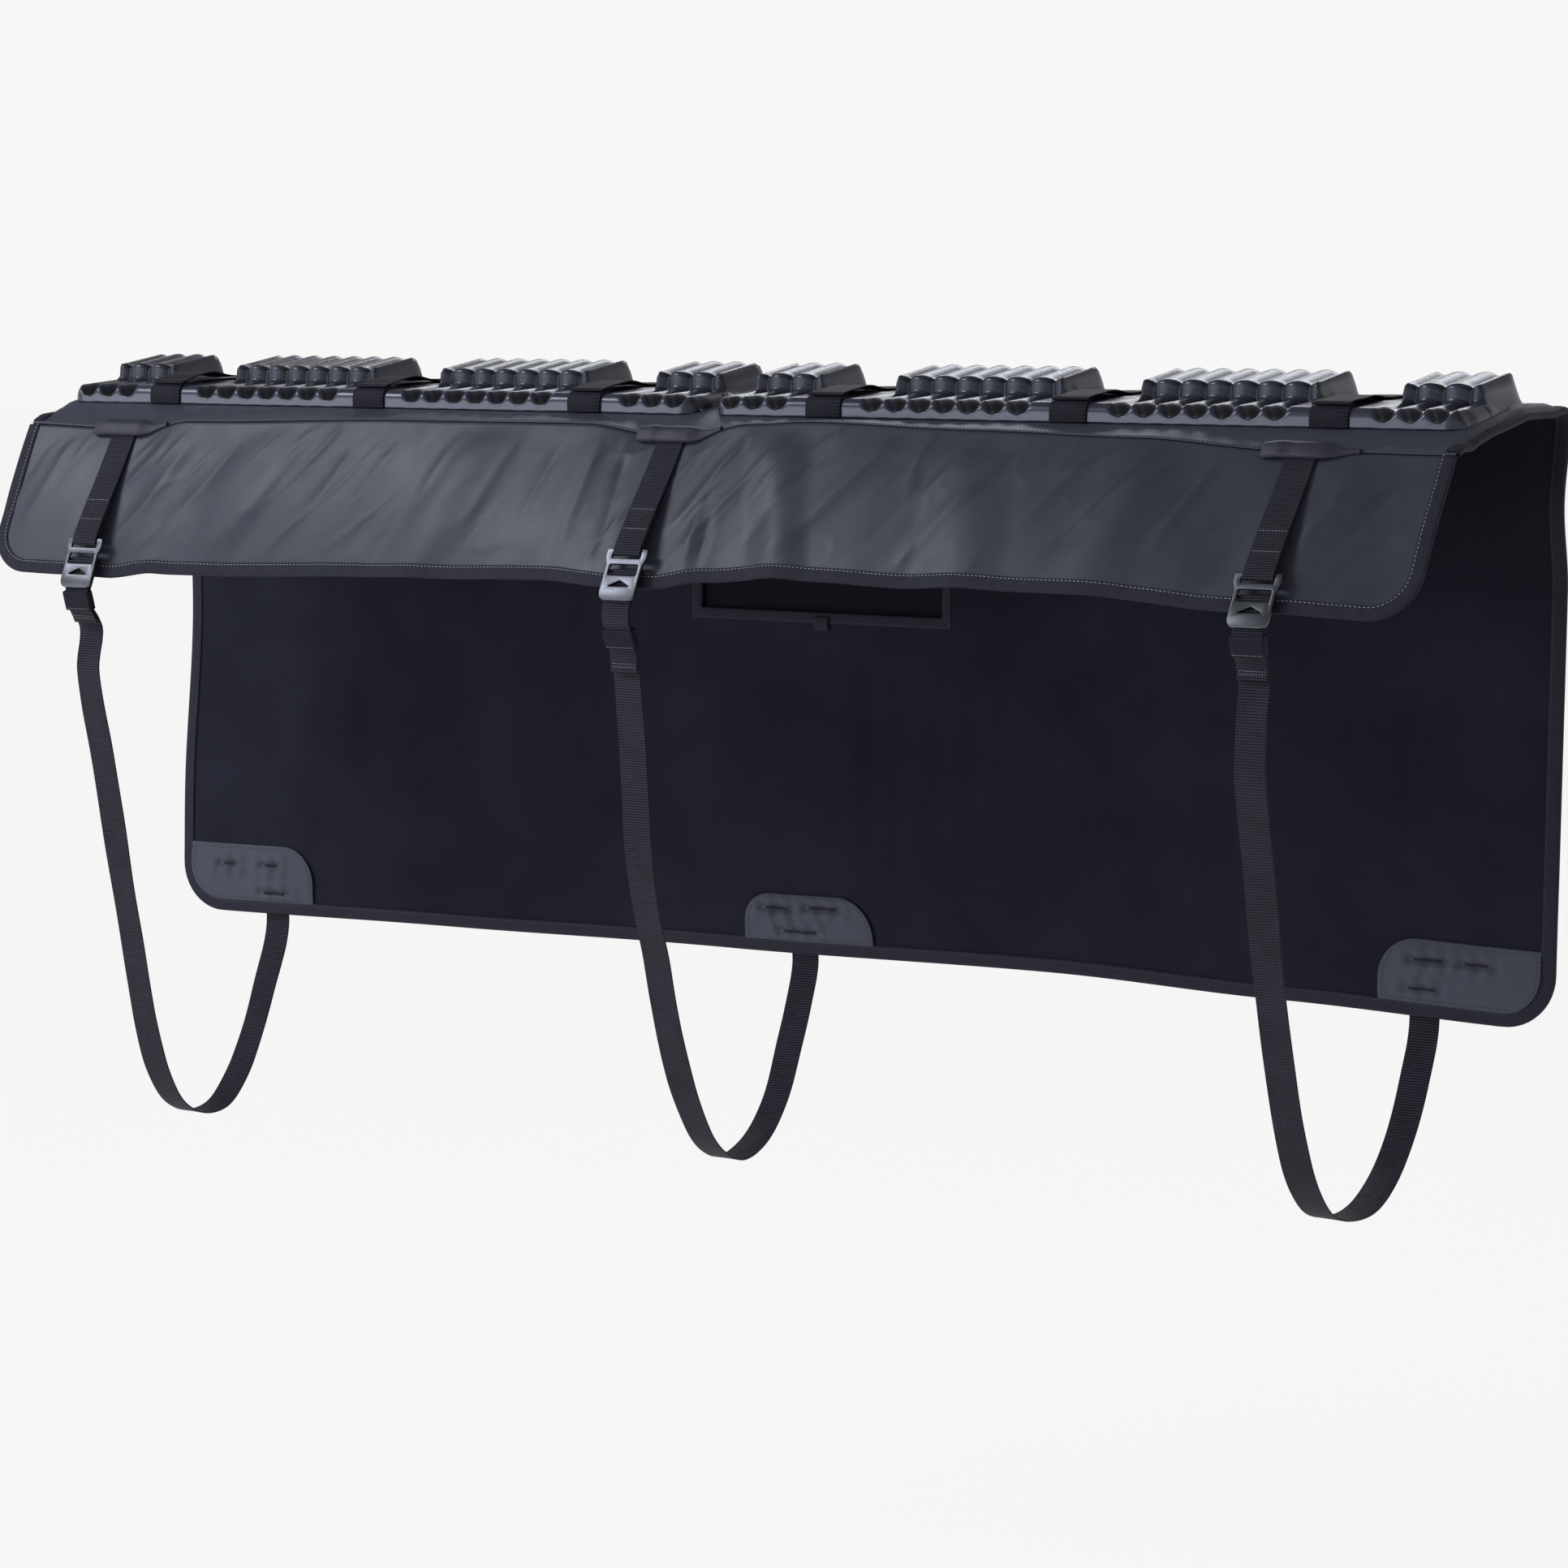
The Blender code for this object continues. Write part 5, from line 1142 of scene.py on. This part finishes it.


# a stamped plate with soft edges, a top bar with ears, and the round bar behind its window
def makeBuckle(number, place):
    ear, side = buckleSizes["ears"] / 2, buckleSizes["width"] / 2
    inside, bar = underSizes["width"] / 2 + 0.0010, buckleSizes["bar"]
    slotTop = -buckleSizes["topBar"]
    slotLow = slotTop - buckleSizes["slot"]
    windowTop = slotLow - buckleSizes["middleBar"]
    windowLow = windowTop - buckleSizes["window"]
    holeTop = windowLow - buckleSizes["lowBar"]
    low = -buckleSizes["height"]
    bevel = buckleSizes["bevel"]
    outline = roundedLoop([(-ear, 0, 0.003), (ear, 0, 0.003), (ear, -0.009, 0.003), (side, -0.017, 0.004),
                           (side, low, 0.009), (-side, low, 0.009), (-side, -0.017, 0.004), (-ear, -0.009, 0.003)])
    slot, window = (
        roundedLoop([(-inside, high, radius), (inside, high, radius), (inside, deep, radius), (-inside, deep, radius)],
                    steps)
        for high, deep, radius, steps in ((slotTop, slotLow, 0.001, 4), (windowTop, windowLow, 0.002, 5)))
    arrow = roundedLoop([(0, holeTop, 0.0006), (0.0130, holeTop - 0.0065, 0.0008),
                         (-0.0130, holeTop - 0.0065, 0.0008)], 3)
    curve = bpy.data.curves.new("bucklePlate", "CURVE")
    curve.dimensions = "2D"
    curve.fill_mode = "BOTH"
    curve.extrude = buckleSizes["plate"] / 2 - bevel
    curve.bevel_depth = bevel
    curve.bevel_resolution = 3
    curve.offset = -bevel
    for loop in (outline, slot, window, arrow):
        spline = curve.splines.new("POLY")
        spline.points.add(len(loop) - 1)
        for point, (x, y) in zip(spline.points, loop):
            point.co = (x, y, 0, 1)
        spline.use_cyclic_u = True
    flat = newObject("bucklePlate", curve)
    bpy.context.view_layer.update()
    mesh = bpy.data.meshes.new_from_object(flat.evaluated_get(bpy.context.evaluated_depsgraph_get()))
    bpy.data.objects.remove(flat, do_unlink=True)
    bm = bmesh.new()
    bm.from_mesh(mesh)
    bmesh.ops.remove_doubles(bm, verts=bm.verts, dist=0.00001)
    # the plate below the window bows forward a little
    for vert in bm.verts:
        vert.co.z += 0.0007 * math.sin(math.pi * min(max((-0.031 - vert.co.y) / 0.022, 0), 1))
    bmesh.ops.transform(bm, matrix=place.matrix(0, buckleSizes["plate"] / 2), verts=bm.verts)
    down, lift = barPlace()
    lug = 0.0025
    rod = bmesh.ops.create_cone(bm, cap_ends=True, segments=20, radius1=bar / 2, radius2=bar / 2,
                                depth=2 * (inside + lug))["verts"]
    bmesh.ops.transform(bm, matrix=place.matrix(down, lift) @ Matrix.Rotation(math.pi / 2, 4, "Y"), verts=rod)
    for hand in (-1, 1):
        depth = -lift + buckleSizes["plate"] / 2
        cube = bmesh.ops.create_cube(bm, size=1.0)["verts"]
        bmesh.ops.scale(bm, vec=(lug, bar * 0.8, depth), verts=cube)
        shift = Matrix.Translation((hand * (inside + lug / 2), 0, 0))
        bmesh.ops.transform(bm, matrix=place.matrix(down, lift + depth / 2) @ shift, verts=cube)
    bpy.data.meshes.remove(mesh)
    mesh = bpy.data.meshes.new(f"buckle{number}")
    bm.to_mesh(mesh)
    bm.free()
    mesh.materials.clear()
    mesh.materials.append(finishes["metal"])
    mesh.polygons.foreach_set("use_smooth", np.ones(len(mesh.polygons), bool))
    mesh.set_sharp_from_angle(angle=math.radians(40))
    return newObject(f"buckle{number}", mesh)


def turnRound(place, down, lift, radius, start, end, steps):
    angles = np.radians(np.linspace(start, end, steps + 1))
    return [place.at(down - radius * math.sin(a), lift + radius * math.cos(a)) for a in angles]


# down the flap, round the buckle's top bar and folded up behind itself, with a stitched box
def makeFlapStrap(number, place):
    x, plate, width, folded = place.x, buckleSizes["plate"], underSizes["width"], underSizes["foldedEnd"]
    lift = clearance + webbingWall / 2
    fold = webbingWall + clearance
    surface = 0.0016
    topLift = buckleSizes["lift"] + plate
    down = [(0.001, surface + 0.0006), (0.010, surface + 0.0002), (0.030, surface + 0.0008), (0.060, surface + 0.0030),
            (0.085, surface + 0.0064), (place.top - 0.0175, topLift - 0.0008)]
    knots = [flapAt(x, t, height) for t, height in down]
    first = curveThrough(knots + [place.at(-0.0040, plate + lift * 0.6), place.at(0.0005, plate + lift)], 10)
    bend = turnRound(place, buckleSizes["topBar"] - 0.0004, plate / 2, plate / 2 + lift, 0, -180, 16)
    last = curveThrough([place.at(0.0005, -lift), place.at(-0.0060, plate * 0.2),
                         flapAt(x, place.top - 0.0175, topLift - 0.0010 - fold),
                         flapAt(x, place.top - folded, surface + 0.0058 - fold)], 8)
    strap = ribbon(f"flapStrap{number}", first + bend + last, width, finishes["webbing"])
    light, faint = stitchedBox(pathFrame(first, -(webbingWall / 2 + 0.0001)), width / 2 - 0.0028,
                               place.top - folded - 0.001, place.top - 0.0205, 30)
    return [strap, stitches(f"flapStrapThread{number}", light, "thread", 0.0030, 0.0021, 0.00032),
            stitches(f"flapStrapCross{number}", faint, "darkThread", 0.0030, 0.0021, 0.0003)]


# from the buckle's bar down behind it, round the loop and up the outside of the panel
def underMiddle(number, place):
    turn = buckleSizes["bar"] / 2 + clearance + webbingWall / 2
    down, lift = barPlace()
    near, far = place.x, strapPlaces["underFar"][number - 1]
    behind = lift - turn
    height = buckleSizes["height"]
    knots = [place.at(down, behind), place.at(down + 0.014, behind + 0.0004),
             place.at(height - 0.006, behind + 0.0012), place.at(height + 0.004, behind + 0.0016)]
    knots += [Vector((0, padFront + y, padLevel + z)) for y, z in underSizes["loops"][number - 1]]
    hem = float(hemZ(far))
    stand = tapes["gap"] + tapes["wall"] + clearance * 3 + webbingWall / 2
    sewn = clearance * 5 + webbingWall / 2
    for z, out in ((hem - 0.010, stand), (hem + 0.003, stand), (hem + tapes["width"], stand),
                   (hem + tapes["width"] + 0.010, sewn), (hem + underSizes["stitchedEnd"], sewn)):
        knots.append(Vector(panelPoint(far, z, out, False).tolist()))
    for knot in knots:
        knot.x = 0.0
    coarse = curveThrough(knots, 3)
    for n, point in enumerate(coarse):
        point.x = near + (far - near) * float(smooth(n / (len(coarse) - 1)))
    return coarse


def makeUnderStrap(number, place):
    main = underMiddle(number, place)
    down, lift = barPlace()
    turn = buckleSizes["bar"] / 2 + clearance + webbingWall / 2
    close = webbingWall + clearance * 1.5
    fineMain = evenly(curveThrough(main, 4), 0.0016)
    fineLengths = runLength(fineMain, 0)
    tailEnd = underSizes["tails"][number - 1]
    wanted = (fineLengths > 0.003) & (fineLengths < tailEnd)
    spacing = 2 * turn + (close - 2 * turn) * smooth(fineLengths / 0.040)
    spacing = spacing + 0.0022 * smooth((fineLengths - tailEnd + 0.020) / 0.020)
    tail = (fineMain - outOf(fineMain) * spacing[:, None])[wanted]
    bend = np.array([list(p) for p in turnRound(place, down, lift, turn, 0, 180, 14)[:-1]])
    path = np.concatenate([tail[::-1], bend, fineMain])
    strap = ribbon(f"underStrap{number}", path, underSizes["width"], finishes["webbing"], waviness=0.0010)
    # the tail's own end is folded and stitched, and the far end is sewn to the panel
    outward = pathFrame(tail, -(webbingWall / 2 + 0.0002))
    end = outward[1][-1]
    inset = underSizes["width"] / 2 - 0.003
    u = np.linspace(-inset, inset, 26)
    rear = pathFrame(fineMain, webbingWall / 2 + 0.0002)
    ends, rest = stitchedBox(rear, inset, rear[1][-1] - 0.034, rear[1][-1] - 0.004, 26)
    threads = [stitches(f"tailThread{number}", [onStrap(outward, u, end - 0.0055), onStrap(outward, u, end - 0.0085)],
                        "thread", 0.0026, 0.0018, 0.0003),
               stitches(f"hemThread{number}", ends + rest, "darkThread", 0.0030, 0.0021, 0.0003)]
    return [strap] + threads, float(runLength(path, 0)[-1])


# a band of elastic round both layers of the strap
def makeKeeper(number, place):
    main = np.array([list(p) for p in underMiddle(number, place)])
    lengths = runLength(main, 0)
    half = underSizes["keeper"] / 2

    def pointAlong(wanted):
        return Vector([float(np.interp(wanted, lengths, main[:, k])) for k in range(3)])

    wanted = underSizes["keepers"][number - 1]
    above, below = pointAlong(wanted - half), pointAlong(wanted + half)
    along = (below - above).normalized()
    out = Vector((0, along.z, -along.y))
    middle = above.lerp(below, 0.5).lerp(pointAlong(wanted), 0.5) + out * (webbingWall + clearance) / 2
    wide, deep = underSizes["width"] / 2 + 0.0012, webbingWall + 0.0026
    loop = roundedLoop([(-wide, -deep, 0.0016), (wide, -deep, 0.0016), (wide, deep, 0.0016), (-wide, deep, 0.0016)], 5)
    dense = []
    for (a0, b0), (a1, b1) in zip(loop, loop[1:] + loop[:1]):
        pieces = max(int(math.hypot(a1 - a0, b1 - b0) / 0.0016), 1)
        dense += [(a0 + (a1 - a0) * k / pieces, b0 + (b1 - b0) * k / pieces) for k in range(pieces)]
    dense.append(dense[0])
    rows = []
    for share in (-1, -0.97, -0.85, -0.5, 0, 0.5, 0.85, 0.97, 1):
        bulge = 1 + 0.05 * (1 - share * share) - (0.05 if abs(share) > 0.99 else 0)
        rows.append([list(middle + along * (share * half) + Vector((a, 0, 0)) + out * (b * bulge)) for a, b in dense])
    band = gridPiece(f"strapKeeper{number}", np.array(rows)[:, ::-1], finishes["band"],
                     underSizes["keeperWall"] * 0.8, 0.0, merge=True)
    run = [list(middle + along * (0.80 * half) + Vector((a, 0, 0)) + out * (deep + 0.0008))
           for a in np.linspace(-wide * 0.85, wide * 0.85, 20)]
    return [band, stitches(f"keeperThread{number}", [run], "thread", 0.0026, 0.0018, 0.00028)]


tabSizes = {"length": 0.094, "above": 0.0060, "below": 0.0095}


# a folded piece sewn over the seam: a fat open tunnel on the left that flattens to a point on the right
def makeTab(number, x):
    left = x - tabSizes["length"] * 0.42
    columns = 72
    strapHalf = underSizes["width"] / 2 + 0.003
    grid = []
    for n in range(columns + 1):
        share = n / columns
        place = left + tabSizes["length"] * share
        away = max(abs(place - x) - strapHalf, 0.0) / 0.022
        arch = float(smooth(1 - away))
        mouth = math.sqrt(max(1 - (1 - min(share / 0.045, 1.0)) ** 2, 0.0))
        tip = 1 - float(smooth((share - 0.60) / 0.40)) * 0.93
        spread = (0.62 + 0.38 * mouth) * tip
        proud = (0.0024 * (1 - float(smooth(share / 0.35))) + 0.0008) * tip * mouth
        here = Vector(seamPoint(place).tolist())
        up = (Vector((place, padFront, padLevel)) - here).normalized()
        bandOut = Vector((0, -up.z, up.y))
        flapOut = (flapAt(place, 0.0, 1.0) - flapAt(place, 0.0)).normalized()
        knots = [flapAt(place, tabSizes["below"] * spread * 0.93, 0.0004 + 0.0022 * arch),
                 flapAt(place, tabSizes["below"] * spread, 0.0012 + 0.0034 * arch + proud * 0.6),
                 flapAt(place, tabSizes["below"] * 0.45 * spread, 0.0014 + 0.0044 * arch * tip + proud),
                 here + (bandOut + flapOut).normalized() * (0.0018 + 0.0042 * arch * tip + proud),
                 here + up * tabSizes["above"] * spread * 0.95 + bandOut * (0.0012 + 0.0024 * arch + proud * 0.5),
                 here + up * tabSizes["above"] * spread * 1.05 + bandOut * 0.0003]
        grid.append([list(p) for p in curveThrough(knots, 4)])
    points = np.array(grid).transpose(1, 0, 2)
    ripple = 0.0005 * np.sin(np.linspace(0, 17, columns + 1))[None, :]
    points[..., 1] -= ripple * np.sin(np.linspace(0, math.pi, points.shape[0]))[:, None]
    tab = gridPiece(f"strapTab{number}", points, finishes["tab"], cloth["tarp"], 1.0)
    normals = gridNormals(points)
    run = [points[4, n] + normals[4, n] * (cloth["tarp"] + 0.0002) for n in range(4, int(columns * 0.8))]
    return [tab, stitches(f"tabThread{number}", [run], "darkThread", 0.0034, 0.0024, 0.0003)]


strapParts = {}
strapLengths = []
for number in (1, 2, 3):
    place = BucklePlace(number)
    under, length = makeUnderStrap(number, place)
    strapLengths.append(round(length, 3))
    strapParts[number] = {"buckle": [makeBuckle(number, place)], "flap_strap": makeFlapStrap(number, place),
                          "under_strap": under, "strap_keeper": makeKeeper(number, place),
                          "strap_tab": makeTab(number, place.x)}
print("strap sets made, under straps cut to", strapLengths)


# patches inside the panel, where the straps end
patchSizes = {"height": 0.061, "middleHeight": 0.047, "width": 0.164, "middleWidth": 0.152, "radius": 0.040,
              "middleRadius": 0.028, "thickness": 0.0010, "inset": tapes["width"] - 0.0008}


# how far the patch stands off the lining: pulled in at each slot, and gathered round it
def puckers(x, z, slots):
    total = 0.0020 + 0.0016 * crumple(1.5 * x, 1.2 * z)
    for x0, z0, x1, z1 in slots:
        aside = np.maximum(np.abs(x - (x0 + x1) / 2) - abs(x1 - x0) / 2, 0)
        near = np.exp(-(aside / 0.010) ** 2 - ((z - (z0 + z1) / 2) / 0.0045) ** 2)
        around = np.exp(-(aside / 0.014) ** 2 - ((z - (z0 + z1) / 2) / 0.011) ** 2)
        total = total + 0.0048 * around * (1 + 0.35 * np.sin(330 * (x - x0))) - 0.0070 * near
    return np.maximum(total, 0.0)


# radii are (radius, at the top, at the left), and slots run from one (X, Z) to another
def makePatch(name, left, right, height, radii, slots):
    shares = np.concatenate([[0, 0.012], np.linspace(0.04, 0.96, 44), [0.988, 1]])
    count = 110
    rows = []
    for share in shares:
        edgeLeft, edgeRight = left, right
        for radius, atTop, atLeft in radii:
            fromEdge = height * (1 - share) if atTop else height * share
            if fromEdge < radius:
                inset = radius - math.sqrt(radius ** 2 - (radius - fromEdge) ** 2)
                if atLeft:
                    edgeLeft = max(edgeLeft, left + inset)
                else:
                    edgeRight = min(edgeRight, right - inset)
        x = np.linspace(edgeLeft, edgeRight, count)
        z = hemZ(x) + patchSizes["inset"] + height * share
        lift = -(stack + 2 * clearance) - puckers(x, z, slots) * math.sin(math.pi * share) ** 0.5
        rows.append(panelPoint(x, z, lift))
    points = np.array(rows)[::-1]
    patch = gridPiece(name, points, finishes["patch"], patchSizes["thickness"], -1.0)
    inner = (points - gridNormals(points) * (patchSizes["thickness"] + 0.0002))[::-1]
    a, b, side = 3, len(shares) - 4, count - 4
    border = [*inner[a, 3:side + 1], *inner[a:b + 1, side], *inner[b, side:2:-1], *inner[b:a - 1:-1, 3]]
    rims = []
    for x0, z0, x1, z1 in slots:
        for rise in (-0.0009, 0.0, 0.0009):
            line = np.linspace(x0, x1, 24)
            level = np.full(24, (z0 + z1) / 2 + rise)
            lift = -(stack + 2 * clearance + patchSizes["thickness"] + 0.0003) - puckers(line, level, slots)
            rims.append(panelPoint(line, level, lift))
    return [patch, stitches(name + "Thread", [border], "darkThread", 0.0040, 0.0028, 0.0004),
            stitches(name + "Slots", rims, "slotThread", 0.0020, 0.0020, 0.0007)]


def slotsAt(*places):
    return [(x0, z, x1, z) for x0, x1, z in places]


sideEdge = halfWidth - cloth["narrowing"] - patchSizes["inset"]
cornerRadius = hemRadius - patchSizes["inset"]
middleHalf = patchSizes["middleWidth"] / 2
patchParts = {
    "patch_left": makePatch("patchLeft", -sideEdge, -sideEdge + patchSizes["width"], patchSizes["height"],
                            [(cornerRadius, False, True), (patchSizes["radius"], True, False)],
                            slotsAt((-0.745, -0.731, -0.5245), (-0.689, -0.675, -0.5235), (-0.691, -0.665, -0.5535))),
    "patch_right": makePatch("patchRight", sideEdge - patchSizes["width"], sideEdge, patchSizes["height"],
                             [(cornerRadius, False, False), (patchSizes["radius"], True, True)],
                             slotsAt((0.662, 0.689, -0.5195), (0.714, 0.736, -0.5205), (0.657, 0.683, -0.5475))),
    "patch_middle": makePatch("patchMiddle", -0.004 - middleHalf, -0.004 + middleHalf, patchSizes["middleHeight"],
                              [(patchSizes["middleHeight"] - 0.004, True, False),
                               (patchSizes["middleRadius"], True, True)],
                              slotsAt((-0.055, -0.030, -0.5235), (-0.003, 0.028, -0.5205), (-0.033, 0.004, -0.5465))),
}
print("patches sewn")


# which piece stands for which node
def stand(node, parts, slot):
    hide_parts(node)
    for part in parts:
        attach(part, "root")


for node, slot, *parts in (
        ("cover_sheet", "coated_tarp", coverCloth), ("lining", "fleece_lining", liningCloth),
        ("cover_binding", "binding_tape", coverTape, coverThread), ("front_flap", "coated_tarp", flapCloth, seamThread),
        ("flap_binding", "binding_tape", flapTape, flapThread),
        ("window_binding", "binding_tape", windowTape, windowThread, windowTab),
        ("window_flap", "coated_tarp", windowCover, windowCoverThread),
        ("foam_pad_left", "foam_skin", padLeft), ("foam_pad_right", "foam_skin", padRight)):
    stand(node, parts, slot)
for n, (base, ribs, strap, thread) in enumerate(bikeParts):
    stand(f"strap_anchor_{n + 1}", [base, ribs], "webbing")
    stand(f"bike_strap_{n + 1}", [strap, thread], "loop_band")
for number, parts in strapParts.items():
    for node, slot in (("buckle", "satin_metal"), ("flap_strap", "webbing"), ("under_strap", "webbing"),
                       ("strap_keeper", "loop_band"), ("strap_tab", "coated_tarp")):
        stand(f"{node}_{number}", parts[node], slot)
for node, parts in patchParts.items():
    stand(node, parts, "coated_tarp")


# floor, light and camera
stageSizes = {"floor": -1.30, "half": 30.0, "paper": 0.93, "ambient": 0.50, "overhead": 0.18,
              "lens": 105.15, "sensor": 36, "eye": (2.395, -3.869, 0.1335), "dip": 6.54, "turn": 31.72}
camera = bpy.data.cameras.new("camera")
camera.lens = stageSizes["lens"]
camera.sensor_width = stageSizes["sensor"]
cameraObject = newObject("camera", camera)
cameraObject.location = stageSizes["eye"]
cameraObject.rotation_euler = (math.radians(90 - stageSizes["dip"]), 0, math.radians(stageSizes["turn"]))
bpy.context.scene.camera = cameraObject


# 1 where the camera, a reflection or a transmission sees the surface itself
def seenDirectly(tree):
    path = nodeAt(tree, "ShaderNodeLightPath").outputs
    seen = sums(tree, "MAXIMUM", path["Is Camera Ray"], path["Is Glossy Ray"])
    return sums(tree, "MAXIMUM", seen, path["Is Transmission Ray"])


def makeStage():
    bm = bmesh.new()
    bmesh.ops.create_grid(bm, x_segments=8, y_segments=8, size=stageSizes["half"])
    bmesh.ops.translate(bm, vec=(0, 0, stageSizes["floor"]), verts=bm.verts)
    mesh = bpy.data.meshes.new("floor")
    bm.to_mesh(mesh)
    bm.free()
    paper = (*[stageSizes["paper"]] * 3, 1.0)
    finish, tree, shader = newFinish("paleFloor", paper[:3], 0.9, Specular_IOR_Level=0.0)
    glow = nodeAt(tree, "ShaderNodeEmission", Color=paper)
    mix = nodeAt(tree, "ShaderNodeMixShader", sums(tree, "MULTIPLY", seenDirectly(tree), 0.96),
                 shader.outputs["BSDF"], glow.outputs["Emission"])
    tree.links.new(mix.outputs["Shader"], tree.nodes["Material Output"].inputs["Surface"])
    mesh.materials.append(finish)
    newObject("floor", mesh)
    world = bpy.data.worlds.new("studio")
    world.use_nodes = True
    tree = world.node_tree
    tree.nodes.clear()
    way = nodeAt(tree, "ShaderNodeSeparateXYZ", nodeAt(tree, "ShaderNodeTexCoord").outputs["Generated"])
    # the room is dim overhead, above what any camera sees
    dim = nodeAt(tree, "ShaderNodeMapRange", way.outputs["Z"], From_Min=0.12, From_Max=0.55, To_Min=1.0,
                 To_Max=stageSizes["overhead"])
    shown = nodeAt(tree, "ShaderNodeBackground", Color=paper, Strength=dim.outputs["Result"])
    light = nodeAt(tree, "ShaderNodeBackground", Color=(1.0, 1.0, 1.0, 1.0), Strength=stageSizes["ambient"])
    mix = nodeAt(tree, "ShaderNodeMixShader", seenDirectly(tree), light.outputs[0], shown.outputs[0])
    nodeAt(tree, "ShaderNodeOutputWorld", mix.outputs["Shader"])
    bpy.context.scene.world = world


def softBox(name, place, target, size, power):
    lamp = bpy.data.lights.new(name, "AREA")
    lamp.shape = "RECTANGLE"
    lamp.size, lamp.size_y = size
    lamp.energy = power
    lamp.color = (0.91, 0.93, 1.0)
    thing = newObject(name, lamp)
    thing.location = place
    thing.rotation_euler = (Vector(target) - Vector(place)).to_track_quat("-Z", "Y").to_euler()


makeStage()
softBox("keyLight", (-2.60, -2.30, 2.2), (-0.1, 0, -0.1), (1.5, 0.9), 84)
softBox("lowFrontLight", (-2.3, -3.7, -0.10), (-0.1, -0.1, 0), (3.6, 0.8), 64)
softBox("rimLight", (-0.8, 2.6, 1.5), (0, 0, 0), (2.4, 0.35), 20)
bpy.context.scene.view_settings.view_transform = "Standard"
print("stage set")
